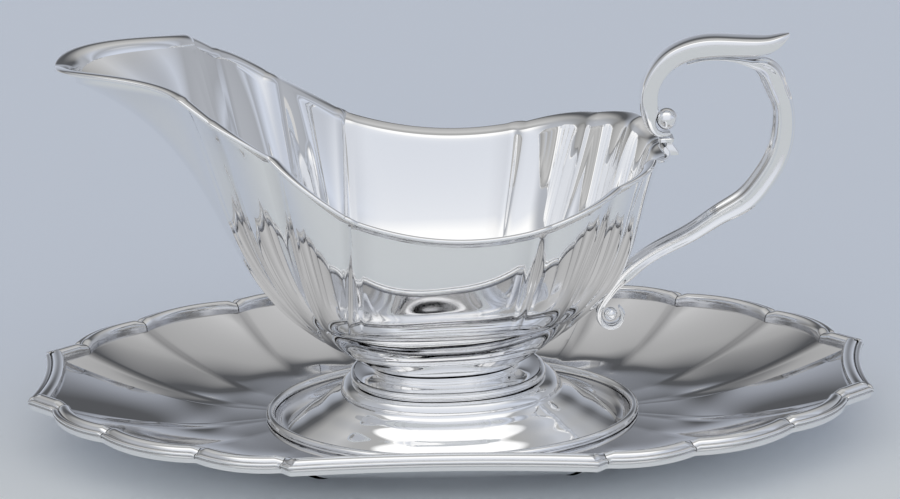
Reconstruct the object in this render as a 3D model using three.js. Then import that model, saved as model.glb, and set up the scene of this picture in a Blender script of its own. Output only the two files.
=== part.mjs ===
import * as THREE from 'three';

// Gravy boat on its fitted underplate, in millimetres, +Z up.
// The origin is on the table under the middle of the plate, and the handle is towards +X.

// Underplate outline, one quarter, at the outer edge of the border.
const TIP_X = 130.0;
const TIP_Y = 21.7;
const NOTCH_0_X = 121.5;
const NOTCH_0_Y = 29.5;
const NOTCH_1_X = 104.0;
const NOTCH_1_Y = 51.6;
const NOTCH_2_X = 74.2;
const NOTCH_2_Y = 69.8;
const NOTCH_3_X = 48.2;
const NOTCH_3_Y = 79.0;
const MID_X = 45.4;
const MID_Y = 82.0;
const END_HOLLOW = 2.5;
const MID_HOLLOW = 2.7;
const LOBE_1_BULGE = 3.4;
const LOBE_2_BULGE = 4.0;
const LOBE_3_BULGE = 3.2;

// Underplate heights, sheet, and the shape of its rise from a flat floor to the rim.
const PLATE_SHEET = 1.3;
const PLATE_RIM_Z = 18.0;
const PLATE_FLOOR_Z = 6.0;
const DISH_CURVE = 1.9;
const FLAT_SHARE = 0.14;
const PANEL_FOCUS = 0.34;

// Applied border of the plate.
const BORDER_WIDTH = 6.0;
const BORDER_HEIGHT = 2.9;
const BORDER_OVERHANG = 0.8;
const FLANGE_END = 5.3;

// Sunk oval well with a flat base, and the oval wire round it.
const BASE_A = 50.0;
const BASE_B = 36.5;
const WELL_FLARE = 5.5;
const WIRE_WIDTH = 2.8;
const WIRE_HEIGHT = 2.1;

// Clearance between pieces that touch.
const SEAT = 0.3;

// The boat stands a little turned in its well.
const BOAT_TURN_DEG = 4.3;

// Boat foot, from its edge up to the oval neck.
const FOOT_SHEET = 1.2;
const FOOT_REACH = 1.5;
const FOOT_HEIGHT = 21.6;
const FOOT_EDGE = 1.7;
const NECK_A = 23.2;
const NECK_B = 18.6;
const NECK_SHIFT = -2.0;
const COLLAR_A = 30.0;
const COLLAR_B = 24.8;
const COLLAR_DROP = 4.1;
const COLLAR_WIRE = 2.2;

// Bowl: smooth cup below, then the fluted wall standing a little proud of it, then the turned-out lip.
const BOWL_SHEET = 1.4;
const CUP_A = 40.0;
const CUP_B = 28.8;
const CUP_SHIFT = -2.0;
const CUP_RISE = 17.0;
const CUP_END_RISE = 6.6;
const CUP_TUCK = 0.08;
const CUP_FULLNESS = 2.7;
const NECK_FULLNESS = 2.3;
const CREASE = 0.6;
const LIP_OUT = 2.6;
const LIP_UP = 2.9;
const SPOUT_LIP_OUT = 6.0;
const SPOUT_LIP_UP = 4.1;

// Rim at each notch on one side, spout to handle: height above the neck, and angle round the cup.
const SPOUT_X = -117.0;
const SPOUT_RISE = 97.6;
const RIM_A = { x: -79.5, y: 36.4, rise: 96.1, cup: 4 };
const RIM_B = { x: -71.2, y: 41.2, rise: 90.4, cup: 7 };
const RIM_C = { x: -54.0, y: 46.4, rise: 80.3, cup: 26 };
const RIM_D = { x: -32.6, y: 57.4, rise: 64.6, cup: 48 };
const RIM_E = { x: -28.8, y: 57.8, rise: 62.6, cup: 57 };
const RIM_F = { x: 22.8, y: 56.8, rise: 57.2, cup: 110 };
const RIM_G = { x: 28.6, y: 54.8, rise: 58.2, cup: 114.5 };
const RIM_H = { x: 50.4, y: 40.0, rise: 64.6, cup: 140 };
const RIM_I = { x: 62.6, y: 23.0, rise: 67.6, cup: 161 };
const REAR_X = 66.8;
const REAR_RISE = 66.2;

// Handle.
const SCROLL_DEPTH = 3.7;
const LOOP_DEPTH = 3.9;
const BALL_R = 3.4;
const EYE_R = 2.15;
const BRACKET_DEPTH = 3.0;
const JOINT_SET = 0.2;

const bright = new THREE.MeshStandardMaterial({ color: 0xdcdfe2, metalness: 1.0, roughness: 0.1 });
const soft = new THREE.MeshStandardMaterial({ color: 0xc6cacf, metalness: 1.0, roughness: 0.16 });

const group = new THREE.Group();

function addMesh(parent, name, geometry, material) {
  const mesh = new THREE.Mesh(geometry, material);
  mesh.name = name;
  parent.add(mesh);
}

// Volume inside a closed surface, positive when its faces point out.
function signedVolume(points, faces) {
  let total = 0;
  for (const [a, b, c] of faces) {
    total += points[a].dot(new THREE.Vector3().crossVectors(points[b], points[c]));
  }
  return total / 6;
}

function solidFrom(points, faces) {
  const out = signedVolume(points, faces) > 0 ? faces : faces.map(([a, b, c]) => [a, c, b]);
  const geometry = new THREE.BufferGeometry();
  geometry.setAttribute('position', new THREE.Float32BufferAttribute(points.flatMap((p) => p.toArray()), 3));
  geometry.setIndex(out.flat());
  geometry.computeVertexNormals();
  return geometry;
}

// Skin over a stack of equal rings: closed with a fan at each end, or wrapped round on itself.
function skin(rings, wrapped) {
  const points = rings.flat();
  const size = rings[0].length;
  const faces = [];
  const rows = wrapped ? rings.length : rings.length - 1;
  for (let r = 0; r < rows; r += 1) {
    const next = (r + 1) % rings.length;
    for (let i = 0; i < size; i += 1) {
      const j = (i + 1) % size;
      faces.push([r * size + i, r * size + j, next * size + j]);
      faces.push([r * size + i, next * size + j, next * size + i]);
    }
  }
  if (wrapped) return solidFrom(points, faces);
  const fan = (row, flip) => {
    const hub = points.length;
    const middle = new THREE.Vector3();
    rings[row].forEach((p) => middle.addScaledVector(p, 1 / size));
    points.push(middle);
    for (let i = 0; i < size; i += 1) {
      const a = row * size + i;
      const b = row * size + ((i + 1) % size);
      faces.push(flip ? [hub, b, a] : [hub, a, b]);
    }
  };
  fan(0, true);
  fan(rings.length - 1, false);
  return solidFrom(points, faces);
}

// Point on an oval whose corners get fuller as the squareness rises above 2.
function ovalPoint(a, b, angle, squareness) {
  const c = Math.cos(angle);
  const s = Math.sin(angle);
  const power = 2 / squareness;
  return new THREE.Vector2(a * Math.sign(c) * Math.abs(c) ** power, b * Math.sign(s) * Math.abs(s) ** power);
}

function ovalRing(a, b, z, squareness, count, shift = 0) {
  const ring = [];
  for (let i = 0; i < count; i += 1) {
    const p = ovalPoint(a, b, (i / count) * Math.PI * 2, squareness);
    ring.push(new THREE.Vector3(p.x + shift, p.y, z));
  }
  return ring;
}

// Arc from p to q as plan points, bulging to the right of the way, or hollow if the bulge is negative.
function arcPoints(p, q, bulge, steps) {
  const chord = q.clone().sub(p);
  const side = new THREE.Vector2(chord.y, -chord.x).normalize();
  const half = chord.length() / 2;
  const size = Math.abs(bulge);
  const radius = size > 0 ? (half * half + size * size) / (2 * size) : 0;
  const points = [];
  for (let i = 0; i <= steps; i += 1) {
    const along = ((2 * i) / steps - 1) * half;
    const rise = size > 0 ? Math.sqrt(radius * radius - along * along) - (radius - size) : 0;
    const point = p.clone().addScaledVector(chord, i / steps);
    points.push(point.addScaledVector(side, Math.sign(bulge) * rise));
  }
  return points;
}

// ---- Underplate ----

const corner = {
  tip: new THREE.Vector2(TIP_X, TIP_Y),
  notch0: new THREE.Vector2(NOTCH_0_X, NOTCH_0_Y),
  notch1: new THREE.Vector2(NOTCH_1_X, NOTCH_1_Y),
  notch2: new THREE.Vector2(NOTCH_2_X, NOTCH_2_Y),
  notch3: new THREE.Vector2(NOTCH_3_X, NOTCH_3_Y),
  mid: new THREE.Vector2(MID_X, MID_Y),
};

const quarterSides = [
  { from: corner.tip, to: corner.notch0, bulge: 0, steps: 2, kind: 'side' },
  { from: corner.notch0, to: corner.notch1, bulge: LOBE_1_BULGE, steps: 5, kind: 'lobe' },
  { from: corner.notch1, to: corner.notch2, bulge: LOBE_2_BULGE, steps: 5, kind: 'lobe' },
  { from: corner.notch2, to: corner.notch3, bulge: LOBE_3_BULGE, steps: 5, kind: 'lobe' },
  { from: corner.notch3, to: corner.mid, bulge: 0, steps: 1, kind: 'return' },
];

const mirrored = (p, sx, sy) => new THREE.Vector2(p.x * sx, p.y * sy);

// One quarter of the outline, always in the order that runs counterclockwise.
function quarter(sx, sy) {
  const sides = quarterSides.map((s) => ({ ...s, from: mirrored(s.from, sx, sy), to: mirrored(s.to, sx, sy) }));
  if (sx * sy > 0) return sides;
  return sides.reverse().map((s) => ({ ...s, from: s.to, to: s.from }));
}

const middleSide = (sy) => ({
  from: mirrored(corner.mid, sy, sy), to: mirrored(corner.mid, -sy, sy), bulge: -MID_HOLLOW, steps: 6, kind: 'mid',
});
const endSide = (sx) => ({
  from: mirrored(corner.tip, sx, -sx), to: mirrored(corner.tip, sx, sx), bulge: -END_HOLLOW, steps: 4, kind: 'end',
});

const outline = [
  ...quarter(1, 1), middleSide(1), ...quarter(-1, 1), endSide(-1),
  ...quarter(-1, -1), middleSide(-1), ...quarter(1, -1), endSide(1),
];
outline.forEach((side) => {
  side.points = arcPoints(side.from, side.to, side.bulge, side.steps);
});

// Way into the plate, square to the edge.
function inwardAt(points, i) {
  const along = points[Math.min(i + 1, points.length - 1)].clone().sub(points[Math.max(i - 1, 0)]).normalize();
  return new THREE.Vector2(-along.y, along.x);
}

// At a corner both sides share the mitre line, so their sections meet.
const mitre = (n1, n2) => n1.clone().add(n2).divideScalar(1 + n1.dot(n2));
outline.forEach((side, k) => {
  const last = outline[(k + outline.length - 1) % outline.length];
  const next = outline[(k + 1) % outline.length];
  const end = side.points.length - 1;
  side.inward = side.points.map((p, i) => inwardAt(side.points, i));
  side.inward[0] = mitre(inwardAt(last.points, last.points.length - 1), inwardAt(side.points, 0));
  side.inward[end] = mitre(inwardAt(side.points, end), inwardAt(next.points, 0));
});

// Border section from the outside in, as shares of its width and height: a small reed and a broad bead.
const BORDER_SECTION = [
  [0.02, 0.0], [0.0, 0.36], [0.14, 0.66], [0.3, 0.6],
  [0.4, 0.88], [0.58, 1.0], [0.8, 0.86], [0.96, 0.42], [1.0, 0.0],
];
const borderZ = PLATE_RIM_Z + SEAT;

// A length of border swept along its sides, with a hair line left at each mitre.
function borderLength(sides) {
  const stations = [];
  sides.forEach((side, k) => {
    side.points.forEach((point, i) => {
      if (k === 0 || i > 0) stations.push({ point: point.clone(), inward: side.inward[i] });
    });
  });
  const trim = (a, b) => a.point.addScaledVector(b.point.clone().sub(a.point).normalize(), SEAT / 2);
  trim(stations[0], stations[1]);
  trim(stations[stations.length - 1], stations[stations.length - 2]);
  const rings = stations.map(({ point, inward }) => BORDER_SECTION.map(([across, up]) => {
    const p = point.clone().addScaledVector(inward, across * BORDER_WIDTH);
    return new THREE.Vector3(p.x, p.y, borderZ + up * BORDER_HEIGHT);
  }));
  return skin(rings, false);
}

const counts = { lobe: 0, side: 0 };
outline.forEach((side, k) => {
  if (side.kind === 'return') return;
  if (side.kind === 'mid') {
    const name = side.from.y > 0 ? 'border_mid_far' : 'border_mid_near';
    addMesh(group, name, borderLength([outline[k - 1], side, outline[k + 1]]), soft);
    return;
  }
  if (side.kind === 'end') {
    addMesh(group, side.from.x > 0 ? 'border_end_handle' : 'border_end_spout', borderLength([side]), soft);
    return;
  }
  counts[side.kind] += 1;
  const number = String(counts[side.kind]).padStart(2, '0');
  addMesh(group, `border_${side.kind}_${number}`, borderLength([side]), soft);
});

// Each point of the rim has a ray towards a point on the long axis, met by the ovals of the well.
const wellA = BASE_A + WELL_FLARE;
const wellB = BASE_B + WELL_FLARE;

function rayToOval(p, a, b) {
  const fx = p.x * PANEL_FOCUS;
  const dx = p.x - fx;
  const qa = (dx / a) ** 2 + (p.y / b) ** 2;
  const qb = (2 * fx * dx) / (a * a);
  const qc = (fx / a) ** 2 - 1;
  const t = (-qb + Math.sqrt(qb * qb - 4 * qa * qc)) / (2 * qa);
  return new THREE.Vector2(fx + dx * t, p.y * t);
}

const rays = [];
outline.forEach((side) => {
  side.points.slice(0, -1).forEach((point, i) => {
    const edge = point.clone().addScaledVector(side.inward[i], BORDER_OVERHANG);
    const shoulder = point.clone().addScaledVector(side.inward[i], FLANGE_END);
    const start = rayToOval(edge, wellA + WIRE_WIDTH, wellB + WIRE_WIDTH);
    const well = rayToOval(edge, wellA, wellB);
    const under = rayToOval(edge, wellA + PLATE_SHEET, wellB + PLATE_SHEET);
    const base = rayToOval(edge, BASE_A, BASE_B);
    rays.push({ edge, shoulder, start, well, under, base });
  });
});

// The panels rise from the flat floor in a curve, and their creases fade out on the way down.
function dishRing(share, drop) {
  const s = Math.max(share - FLAT_SHARE, 0) / (1 - FLAT_SHARE);
  const z = PLATE_FLOOR_Z + (PLATE_RIM_Z - PLATE_FLOOR_Z) * s ** DISH_CURVE - drop;
  return rays.map(({ shoulder, start }) => {
    const p = start.clone().lerp(shoulder, share);
    return new THREE.Vector3(p.x, p.y, z);
  });
}

// The flat flange that the border sits on.
const flangeEdge = (z) => rays.map(({ edge }) => new THREE.Vector3(edge.x, edge.y, z));

// Rounded side of the well, from its flat base up to the floor of the dish.
function wellRise(reach) {
  return (PLATE_FLOOR_Z - PLATE_SHEET) * (1 - Math.sqrt(1 - reach * reach));
}

function wellRing(step, steps, top) {
  const reach = Math.sin((step / steps) * (Math.PI / 2));
  return rays.map(({ well, under, base }) => {
    const p = base.clone().lerp(top ? well : under, reach);
    return new THREE.Vector3(p.x, p.y, wellRise(reach) + (top ? PLATE_SHEET : 0));
  });
}

const dishTop = [0.12, 0.32, 0.5, 0.67, 0.84, 1.0];
const dishUnder = [0.12, 0.5, 0.84, 1.0];
const WELL_STEPS = [0, 1, 2, 3];
const dishRings = [
  ...WELL_STEPS.map((i) => wellRing(i, 3, false)),
  ...dishUnder.map((s) => dishRing(s, PLATE_SHEET)),
  flangeEdge(PLATE_RIM_Z - PLATE_SHEET),
  flangeEdge(PLATE_RIM_Z),
  ...dishTop.slice().reverse().map((s) => dishRing(s, 0)),
  ...WELL_STEPS.slice().reverse().map((i) => wellRing(i, 3, true)),
];
addMesh(group, 'underplate_dish', skin(dishRings, false), soft);

// Half-round wire on the floor of the dish, along the edge of the well.
const WIRE_SECTION = [[0.05, 0.0], [0.0, 0.35], [0.2, 0.85], [0.5, 1.0], [0.8, 0.85], [1.0, 0.35], [0.95, 0.0]];
const wireRings = WIRE_SECTION.map(([across, up]) => {
  const out = across * WIRE_WIDTH;
  return ovalRing(wellA + out, wellB + out, PLATE_FLOOR_Z + SEAT + up * WIRE_HEIGHT, 2, 56);
});
addMesh(group, 'well_wire', skin(wireRings, true), soft);

// ---- Boat ----

const turn = THREE.MathUtils.degToRad(BOAT_TURN_DEG);
const footA = BASE_A + FOOT_REACH;
const footB = BASE_B + FOOT_REACH;

// The turned foot reaches a little further up the rounded side of the well than its edge does.
const turnReach = (footA - footB) * Math.sin(Math.abs(turn));
const footSeat = PLATE_SHEET + wellRise((FOOT_REACH + turnReach) / WELL_FLARE) + SEAT;

const boat = new THREE.Group();
boat.rotation.z = turn;
boat.position.z = footSeat;
group.add(boat);

// Outer profile of the foot from the neck down: half length, half width and height.
const collarTop = FOOT_HEIGHT - COLLAR_DROP + COLLAR_WIRE / 2;
const collarBottom = collarTop - COLLAR_WIRE;
const collarSeatA = COLLAR_A - COLLAR_WIRE / 2;
const collarSeatB = COLLAR_B - COLLAR_WIRE / 2;

function spread(share, z) {
  return [COLLAR_A + (footA - COLLAR_A) * share, COLLAR_B + (footB - COLLAR_B) * share, z];
}

// Under the collar a rounded shoulder, then a slope that eases towards the edge.
const SHOULDER_SHARE = 0.2;
const SHOULDER_DROP = 0.26;

function slope(share) {
  const low = FOOT_EDGE;
  const high = collarBottom - SEAT;
  const knee = high - (high - low) * SHOULDER_DROP;
  if (share <= SHOULDER_SHARE) {
    const k = share / SHOULDER_SHARE;
    return spread(share, knee + (high - knee) * Math.sqrt(1 - k * k));
  }
  const k = (1 - share) / (1 - SHOULDER_SHARE);
  return spread(share, low + (knee - low) * k ** 1.25);
}

const neck = {
  top: [NECK_A, NECK_B, FOOT_HEIGHT],
  waist: [NECK_A - 0.5, NECK_B - 0.5, FOOT_HEIGHT - 1.2],
  flare: [NECK_A + 1.2, NECK_B + 1.0, FOOT_HEIGHT - 2.6],
  seat: [collarSeatA, collarSeatB, collarTop + 0.1],
};
const footOutside = [
  neck.top, neck.waist, neck.flare, neck.seat,
  [collarSeatA, collarSeatB, collarBottom - SEAT],
  slope(0), slope(0.12), slope(0.185), slope(0.21), slope(0.4), slope(0.6), slope(0.8),
  spread(1, FOOT_EDGE),
  spread(1, 0),
];

// The inside of the foot keeps the sheet's thickness below and behind the outside.
const thinned = ([a, b, z], drop) => [a - FOOT_SHEET, b - FOOT_SHEET, z - drop];
const footInside = [
  thinned(spread(1, 0), 0), thinned(spread(1, FOOT_EDGE - 0.9), 0),
  ...[slope(0.75), slope(0.45), slope(0.2), neck.seat].map((p) => thinned(p, FOOT_SHEET * 0.8)),
  thinned(neck.waist, 0.4), thinned(neck.top, 0),
];
const FOOT_STEPS = 40;

// The edge is a true oval like the well, and the neck is a little fuller and stands a little back.
const upShare = (z) => Math.min(Math.max((z - FOOT_EDGE) / (FOOT_HEIGHT - FOOT_EDGE), 0), 1);
const fullness = (z) => 2 + (NECK_FULLNESS - 2) * upShare(z);
const lean = (z) => NECK_SHIFT * upShare(z) ** 3;
const footRing = ([a, b, z]) => ovalRing(a, b, z, fullness(z), FOOT_STEPS, lean(z));
addMesh(boat, 'foot', skin([...footOutside, ...footInside].map(footRing), true), bright);

const COLLAR_SECTION = [[0.0, 0.0], [0.75, 0.05], [1.0, 0.35], [1.0, 0.65], [0.75, 0.95], [0.0, 1.0]];
const collarRings = COLLAR_SECTION.map(([across, up]) => {
  const out = SEAT + across * (COLLAR_WIRE / 2 + 0.2);
  return footRing([collarSeatA + out, collarSeatB + out, collarBottom + up * COLLAR_WIRE]);
});
addMesh(boat, 'foot_collar', skin(collarRings, true), bright);

// Everything above the neck is measured up from it.
const upper = new THREE.Group();
upper.position.z = FOOT_HEIGHT + SEAT;
boat.add(upper);

const bezier3 = (p0, p1, p2, p3, t) => {
  const u = 1 - t;
  const point = p0.clone().multiplyScalar(u * u * u);
  point.addScaledVector(p1, 3 * u * u * t).addScaledVector(p2, 3 * u * t * t).addScaledVector(p3, t * t * t);
  return point;
};

// Rim of one half of the bowl, spout to handle, on the near side.
const rimPoint = (r) => new THREE.Vector3(r.x, -r.y, r.rise);
const spoutTip = new THREE.Vector3(SPOUT_X, 0, SPOUT_RISE);
const rearRim = new THREE.Vector3(REAR_X, 0, REAR_RISE);
const panels = [
  { from: RIM_A, to: RIM_B, bulge: 0.6, lift: 0.2, steps: 2 },
  { from: RIM_B, to: RIM_C, bulge: 2.2, lift: 0.8, steps: 5 },
  { from: RIM_C, to: RIM_D, bulge: 2.6, lift: 0.4, steps: 5 },
  { from: RIM_D, to: RIM_E, bulge: 0.6, lift: 0.2, steps: 2 },
  { from: RIM_E, to: RIM_F, bulge: 1.3, lift: -3.6, steps: 8 },
  { from: RIM_F, to: RIM_G, bulge: 0.6, lift: 0.2, steps: 2 },
  { from: RIM_G, to: RIM_H, bulge: 3.0, lift: 0.5, steps: 5 },
  { from: RIM_H, to: RIM_I, bulge: 2.6, lift: 0.4, steps: 5 },
  { from: RIM_I, to: { x: REAR_X, y: 0, rise: REAR_RISE, cup: 180 }, bulge: 3.0, lift: -1.6, steps: 5 },
];

// The spout's edge is broad and blunt at its end. Its lip is widest there.
const half = [];
const SPOUT_STEPS = 7;
const spoutSide = rimPoint(RIM_A);
for (let i = 0; i < SPOUT_STEPS; i += 1) {
  const t = i / SPOUT_STEPS;
  const p1 = new THREE.Vector3(SPOUT_X, -23, SPOUT_RISE + 2.8);
  const p2 = new THREE.Vector3(SPOUT_X + 28, -20, SPOUT_RISE + 2.2);
  half.push({ rim: bezier3(spoutTip, p1, p2, spoutSide, t), cup: RIM_A.cup * t, flute: 0, tip: (1 - t) ** 2 });
}
panels.forEach(({ from, to, bulge, lift, steps }) => {
  const plan = arcPoints(new THREE.Vector2(from.x, -from.y), new THREE.Vector2(to.x, -to.y), bulge, steps);
  plan.slice(0, -1).forEach((p, i) => {
    const w = i / steps;
    const arch = 4 * w * (1 - w);
    const z = from.rise + (to.rise - from.rise) * w + lift * arch;
    const rim = new THREE.Vector3(p.x, p.y, z);
    half.push({ rim, cup: from.cup + (to.cup - from.cup) * w, flute: bulge * arch, tip: 0 });
  });
});

// The far half mirrors the near half.
const farHalf = half.slice(1).reverse().map(({ rim, cup, flute, tip }) => ({
  rim: new THREE.Vector3(rim.x, -rim.y, rim.z), cup: 360 - cup, flute, tip,
}));
const bowlStations = [...half, { rim: rearRim, cup: 180, flute: 0, tip: 0 }, ...farHalf];

bowlStations.forEach((station, i) => {
  const n = bowlStations.length;
  const along = bowlStations[(i + 1) % n].rim.clone().sub(bowlStations[(i + n - 1) % n].rim);
  station.out = new THREE.Vector3(along.y, -along.x, 0).normalize();
  const angle = THREE.MathUtils.degToRad(180 + station.cup);
  station.angle = angle;
  const p = ovalPoint(CUP_A, CUP_B, angle, CUP_FULLNESS);
  const dip = (1 - Math.abs(Math.sin(angle))) ** 4.5;
  const rise = CUP_RISE - (CUP_RISE - CUP_END_RISE) * dip;
  station.cupEdge = new THREE.Vector3(CUP_SHIFT + p.x * (1 - CUP_TUCK * dip), p.y, rise);
  const fold = Math.min(station.cup, 360 - station.cup);
  station.spout = 1 - THREE.MathUtils.smoothstep(fold, 0, 56);
  station.rear = THREE.MathUtils.smoothstep(fold, 105, 180);
  station.keel = Math.sqrt(station.tip);
  station.lipOut = LIP_OUT + (SPOUT_LIP_OUT - LIP_OUT) * station.tip;
  station.lipUp = LIP_UP + (SPOUT_LIP_UP - LIP_UP) * station.tip;
});

// Shares of the way to the lip where the wall's two guide points stand, along x, y and z.
const WALL_GUIDES = {
  side: { low: [0.0, 0.55, 0.12], high: [0.7, 0.98, 0.52] },
  spout: { low: [0.72, 0.3, 0.27], high: [0.8, 0.17, 0.745] },
  rear: { low: [0.7, 0.65, 0.245], high: [0.63, 0.9, 0.556] },
};

// The sides keep their belly until close to the spout. Under the spout the guides stand no further
// out along x than they do beside its notch, and the keel itself is hollow.
const SPOUT_EASE = { low: [0.8, 1, 1], high: [1, 2.4, 1] };
const KEEL_GUIDES = { low: 0.93, high: 0.63 };
const SPOUT_WAY = RIM_A.x + CUP_A;

function wallGuide(station, which, foot, top) {
  const shares = WALL_GUIDES.side[which].map((side, i) => {
    const toSpout = (WALL_GUIDES.spout[which][i] - side) * station.spout ** SPOUT_EASE[which][i];
    return side + toSpout + (WALL_GUIDES.rear[which][i] - side) * station.rear;
  });
  shares[0] += (KEEL_GUIDES[which] - shares[0]) * station.keel;
  const way = top.clone().sub(foot);
  way.x = Math.max(way.x, SPOUT_WAY);
  return foot.clone().add(new THREE.Vector3(way.x * shares[0], way.y * shares[1], way.z * shares[2]));
}

// The wall starts a little proud of the cup, with each flute already a little raised.
function wallPoint(station, t) {
  const foot = station.cupEdge;
  const top = station.rim.clone().addScaledVector(station.out, -station.lipOut);
  top.z -= station.lipUp;
  const p = bezier3(foot, wallGuide(station, 'low', foot, top), wallGuide(station, 'high', foot, top), top, t);
  const rise = station.flute * (1 - t) * (0.35 + 1.2 * t) + CREASE * (1 - t);
  return p.addScaledVector(station.out, rise);
}

// The lip rolls outward from the top of the wall.
function lipPoint(station, t) {
  const start = wallPoint(station, 1);
  const guide = start.clone().addScaledVector(station.out, station.lipOut * 0.35);
  guide.z += station.lipUp + 0.6 * station.spout ** 4;
  const u = 1 - t;
  const p = start.multiplyScalar(u * u).addScaledVector(guide, 2 * u * t);
  return p.addScaledVector(station.rim, t * t);
}

// The cup swells from the neck to a plain edge just under the flutes, which dips at its two ends.
function cupPoint(station, t) {
  const p = ovalPoint(NECK_A, NECK_B, station.angle, NECK_FULLNESS);
  const start = new THREE.Vector3(p.x + NECK_SHIFT, p.y, 0);
  const end = station.cupEdge.clone();
  end.z -= CREASE / 2;
  const guide = start.clone().lerp(end, 0.6);
  guide.z = end.z * 0.32;
  const u = 1 - t;
  return start.multiplyScalar(u * u).addScaledVector(guide, 2 * u * t).addScaledVector(end, t * t);
}

const bowlRows = [
  (s) => cupPoint(s, 0), (s) => cupPoint(s, 0.3), (s) => cupPoint(s, 0.6), (s) => cupPoint(s, 1),
  ...[0, 0.12, 0.26, 0.42, 0.6, 0.8, 1].map((t) => (s) => wallPoint(s, t)),
  ...[0.4, 0.75, 1].map((t) => (s) => lipPoint(s, t)),
];
const bowlOutside = bowlRows.map((row) => bowlStations.map(row));

// Inside of the sheet: each point moves in square to the surface.
function insideRing(r) {
  const n = bowlStations.length;
  const above = bowlOutside[Math.min(r + 1, bowlOutside.length - 1)];
  return bowlOutside[r].map((p, i) => {
    const below = r > 0 ? bowlOutside[r - 1][i] : new THREE.Vector3(p.x * 0.8, p.y * 0.8, p.z);
    const along = bowlOutside[r][(i + 1) % n].clone().sub(bowlOutside[r][(i + n - 1) % n]);
    const up = above[i].clone().sub(below);
    const normal = along.cross(up).normalize();
    return p.clone().addScaledVector(normal, -BOWL_SHEET);
  });
}
const insideRows = bowlOutside.map((ring, r) => r).filter((r) => ![1, 3, 5].includes(r)).reverse();
addMesh(upper, 'bowl', skin([...bowlOutside, ...insideRows.map(insideRing)], false), bright);

// ---- Handle ----

// A bar swept along a curve in the handle's own plane, with its own half thickness at each point.
function sweptBar(spine, section, depth, steps) {
  const curve = new THREE.CatmullRomCurve3(spine.map(([x, z]) => new THREE.Vector3(x, 0, z)), false, 'centripetal');
  const sizes = new THREE.CatmullRomCurve3(spine.map(([, , h, d]) => new THREE.Vector3(h, d ?? 1, 0)), false, 'centripetal');
  const rings = [];
  for (let i = 0; i <= steps; i += 1) {
    const t = i / steps;
    const centre = curve.getPoint(t);
    const along = curve.getTangent(t);
    const out = new THREE.Vector3(-along.z, 0, along.x);
    const { x: thick, y: wide } = sizes.getPoint(t);
    rings.push(section.map(([n, y]) => {
      const p = centre.clone().addScaledVector(out, n * thick);
      p.y = y * depth * wide;
      return p;
    }));
  }
  return skin(rings, false);
}

// Both scroll sections are symmetric: this makes the second half from the first.
const bothSides = (points) => [...points, ...points.slice().reverse().map(([n, y]) => [n, -y])];
const SCROLL_SECTION = bothSides([[1.0, 0.3], [0.72, 0.86], [0.1, 1.0], [-0.55, 0.8], [-1.0, 0.3]]);
const LOOP_SECTION = bothSides([[1.0, 0.26], [0.68, 0.5], [0.6, 0.95], [0.05, 0.8], [-0.5, 0.98], [-0.72, 0.5], [-1.0, 0.26]]);

// The handle hangs from the back of the rim and comes down to the wall behind the bowl.
const top = (x, z, h, d) => [REAR_X + x, REAR_RISE + z, h, d];
const rearStation = bowlStations.find((s) => s.cup === 180);
const joint = wallPoint(rearStation, 0.355);
joint.x -= JOINT_SET;
const low = (x, z, h, d) => [joint.x + x, joint.z + z, h, d];

const scrollSpine = [
  top(2.4, 4.0, 0.4, 0.5), top(0.4, 3.95, 0.7, 0.7), top(-2.5, 5.1, 1.3, 0.85), top(-3.9, 7.9, 1.85, 0.95),
  top(-4.0, 12.2, 2.8), top(-4.0, 16.3, 2.9), top(-2.2, 22.0, 2.9), top(1.6, 26.7, 3.0, 1.05),
  top(7.4, 29.9, 3.1, 1.15), top(14.2, 31.1, 3.3, 1.25), top(21.7, 31.0, 3.1, 1.3), top(28.2, 30.7, 2.9, 1.25),
  top(33.5, 31.1, 2.4, 1.0), top(37.4, 32.8, 1.3, 0.6), top(39.2, 34.1, 0.4, 0.25),
];
addMesh(upper, 'handle_upper_scroll', sweptBar(scrollSpine, SCROLL_SECTION, SCROLL_DEPTH, 28), bright);

const loopSpine = [
  top(18.2, 26.9, 0.35, 0.6), top(23.2, 26.4, 0.8, 0.8), top(28.0, 25.1, 1.6), top(32.6, 23.1, 3.7),
  top(35.0, 17.6, 3.6), top(36.8, 12.8, 3.4), top(37.4, 6.8, 3.6), top(36.7, 0.3, 3.8),
  top(34.5, -6.2, 3.9), top(30.8, -12.2, 3.9), top(25.5, -18.2, 3.8), low(35.0, 20.5, 3.3),
  low(26.0, 14.9, 2.9), low(16.5, 10.2, 2.7), low(9.0, 5.5, 2.7), low(4.9, 1.9, 2.7, 0.95),
  low(2.2, -1.2, 1.9, 0.85), low(-0.1, -4.4, 1.5, 0.75), low(-2.2, -7.5, 1.3, 0.7), low(-3.2, -10.8, 1.1, 0.65),
  low(-1.9, -13.9, 1.0, 0.6), low(0.7, -15.0, 0.95, 0.6), low(3.3, -13.7, 0.9, 0.6), low(4.2, -10.8, 0.8, 0.55),
  low(3.2, -8.5, 0.4, 0.4),
];
addMesh(upper, 'handle_loop', sweptBar(loopSpine, LOOP_SECTION, LOOP_DEPTH, 46), bright);

function ball(name, radius, x, z, widthSteps, heightSteps) {
  const geometry = new THREE.SphereGeometry(radius, widthSteps, heightSteps);
  geometry.rotateX(Math.PI / 2);
  geometry.translate(x, 0, z);
  addMesh(upper, name, geometry, bright);
}
ball('handle_ball', BALL_R, REAR_X + 1.4, REAR_RISE + 8.5, 16, 10);
ball('handle_eye', EYE_R, joint.x + 0.5, joint.z - 10.9, 12, 8);

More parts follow.
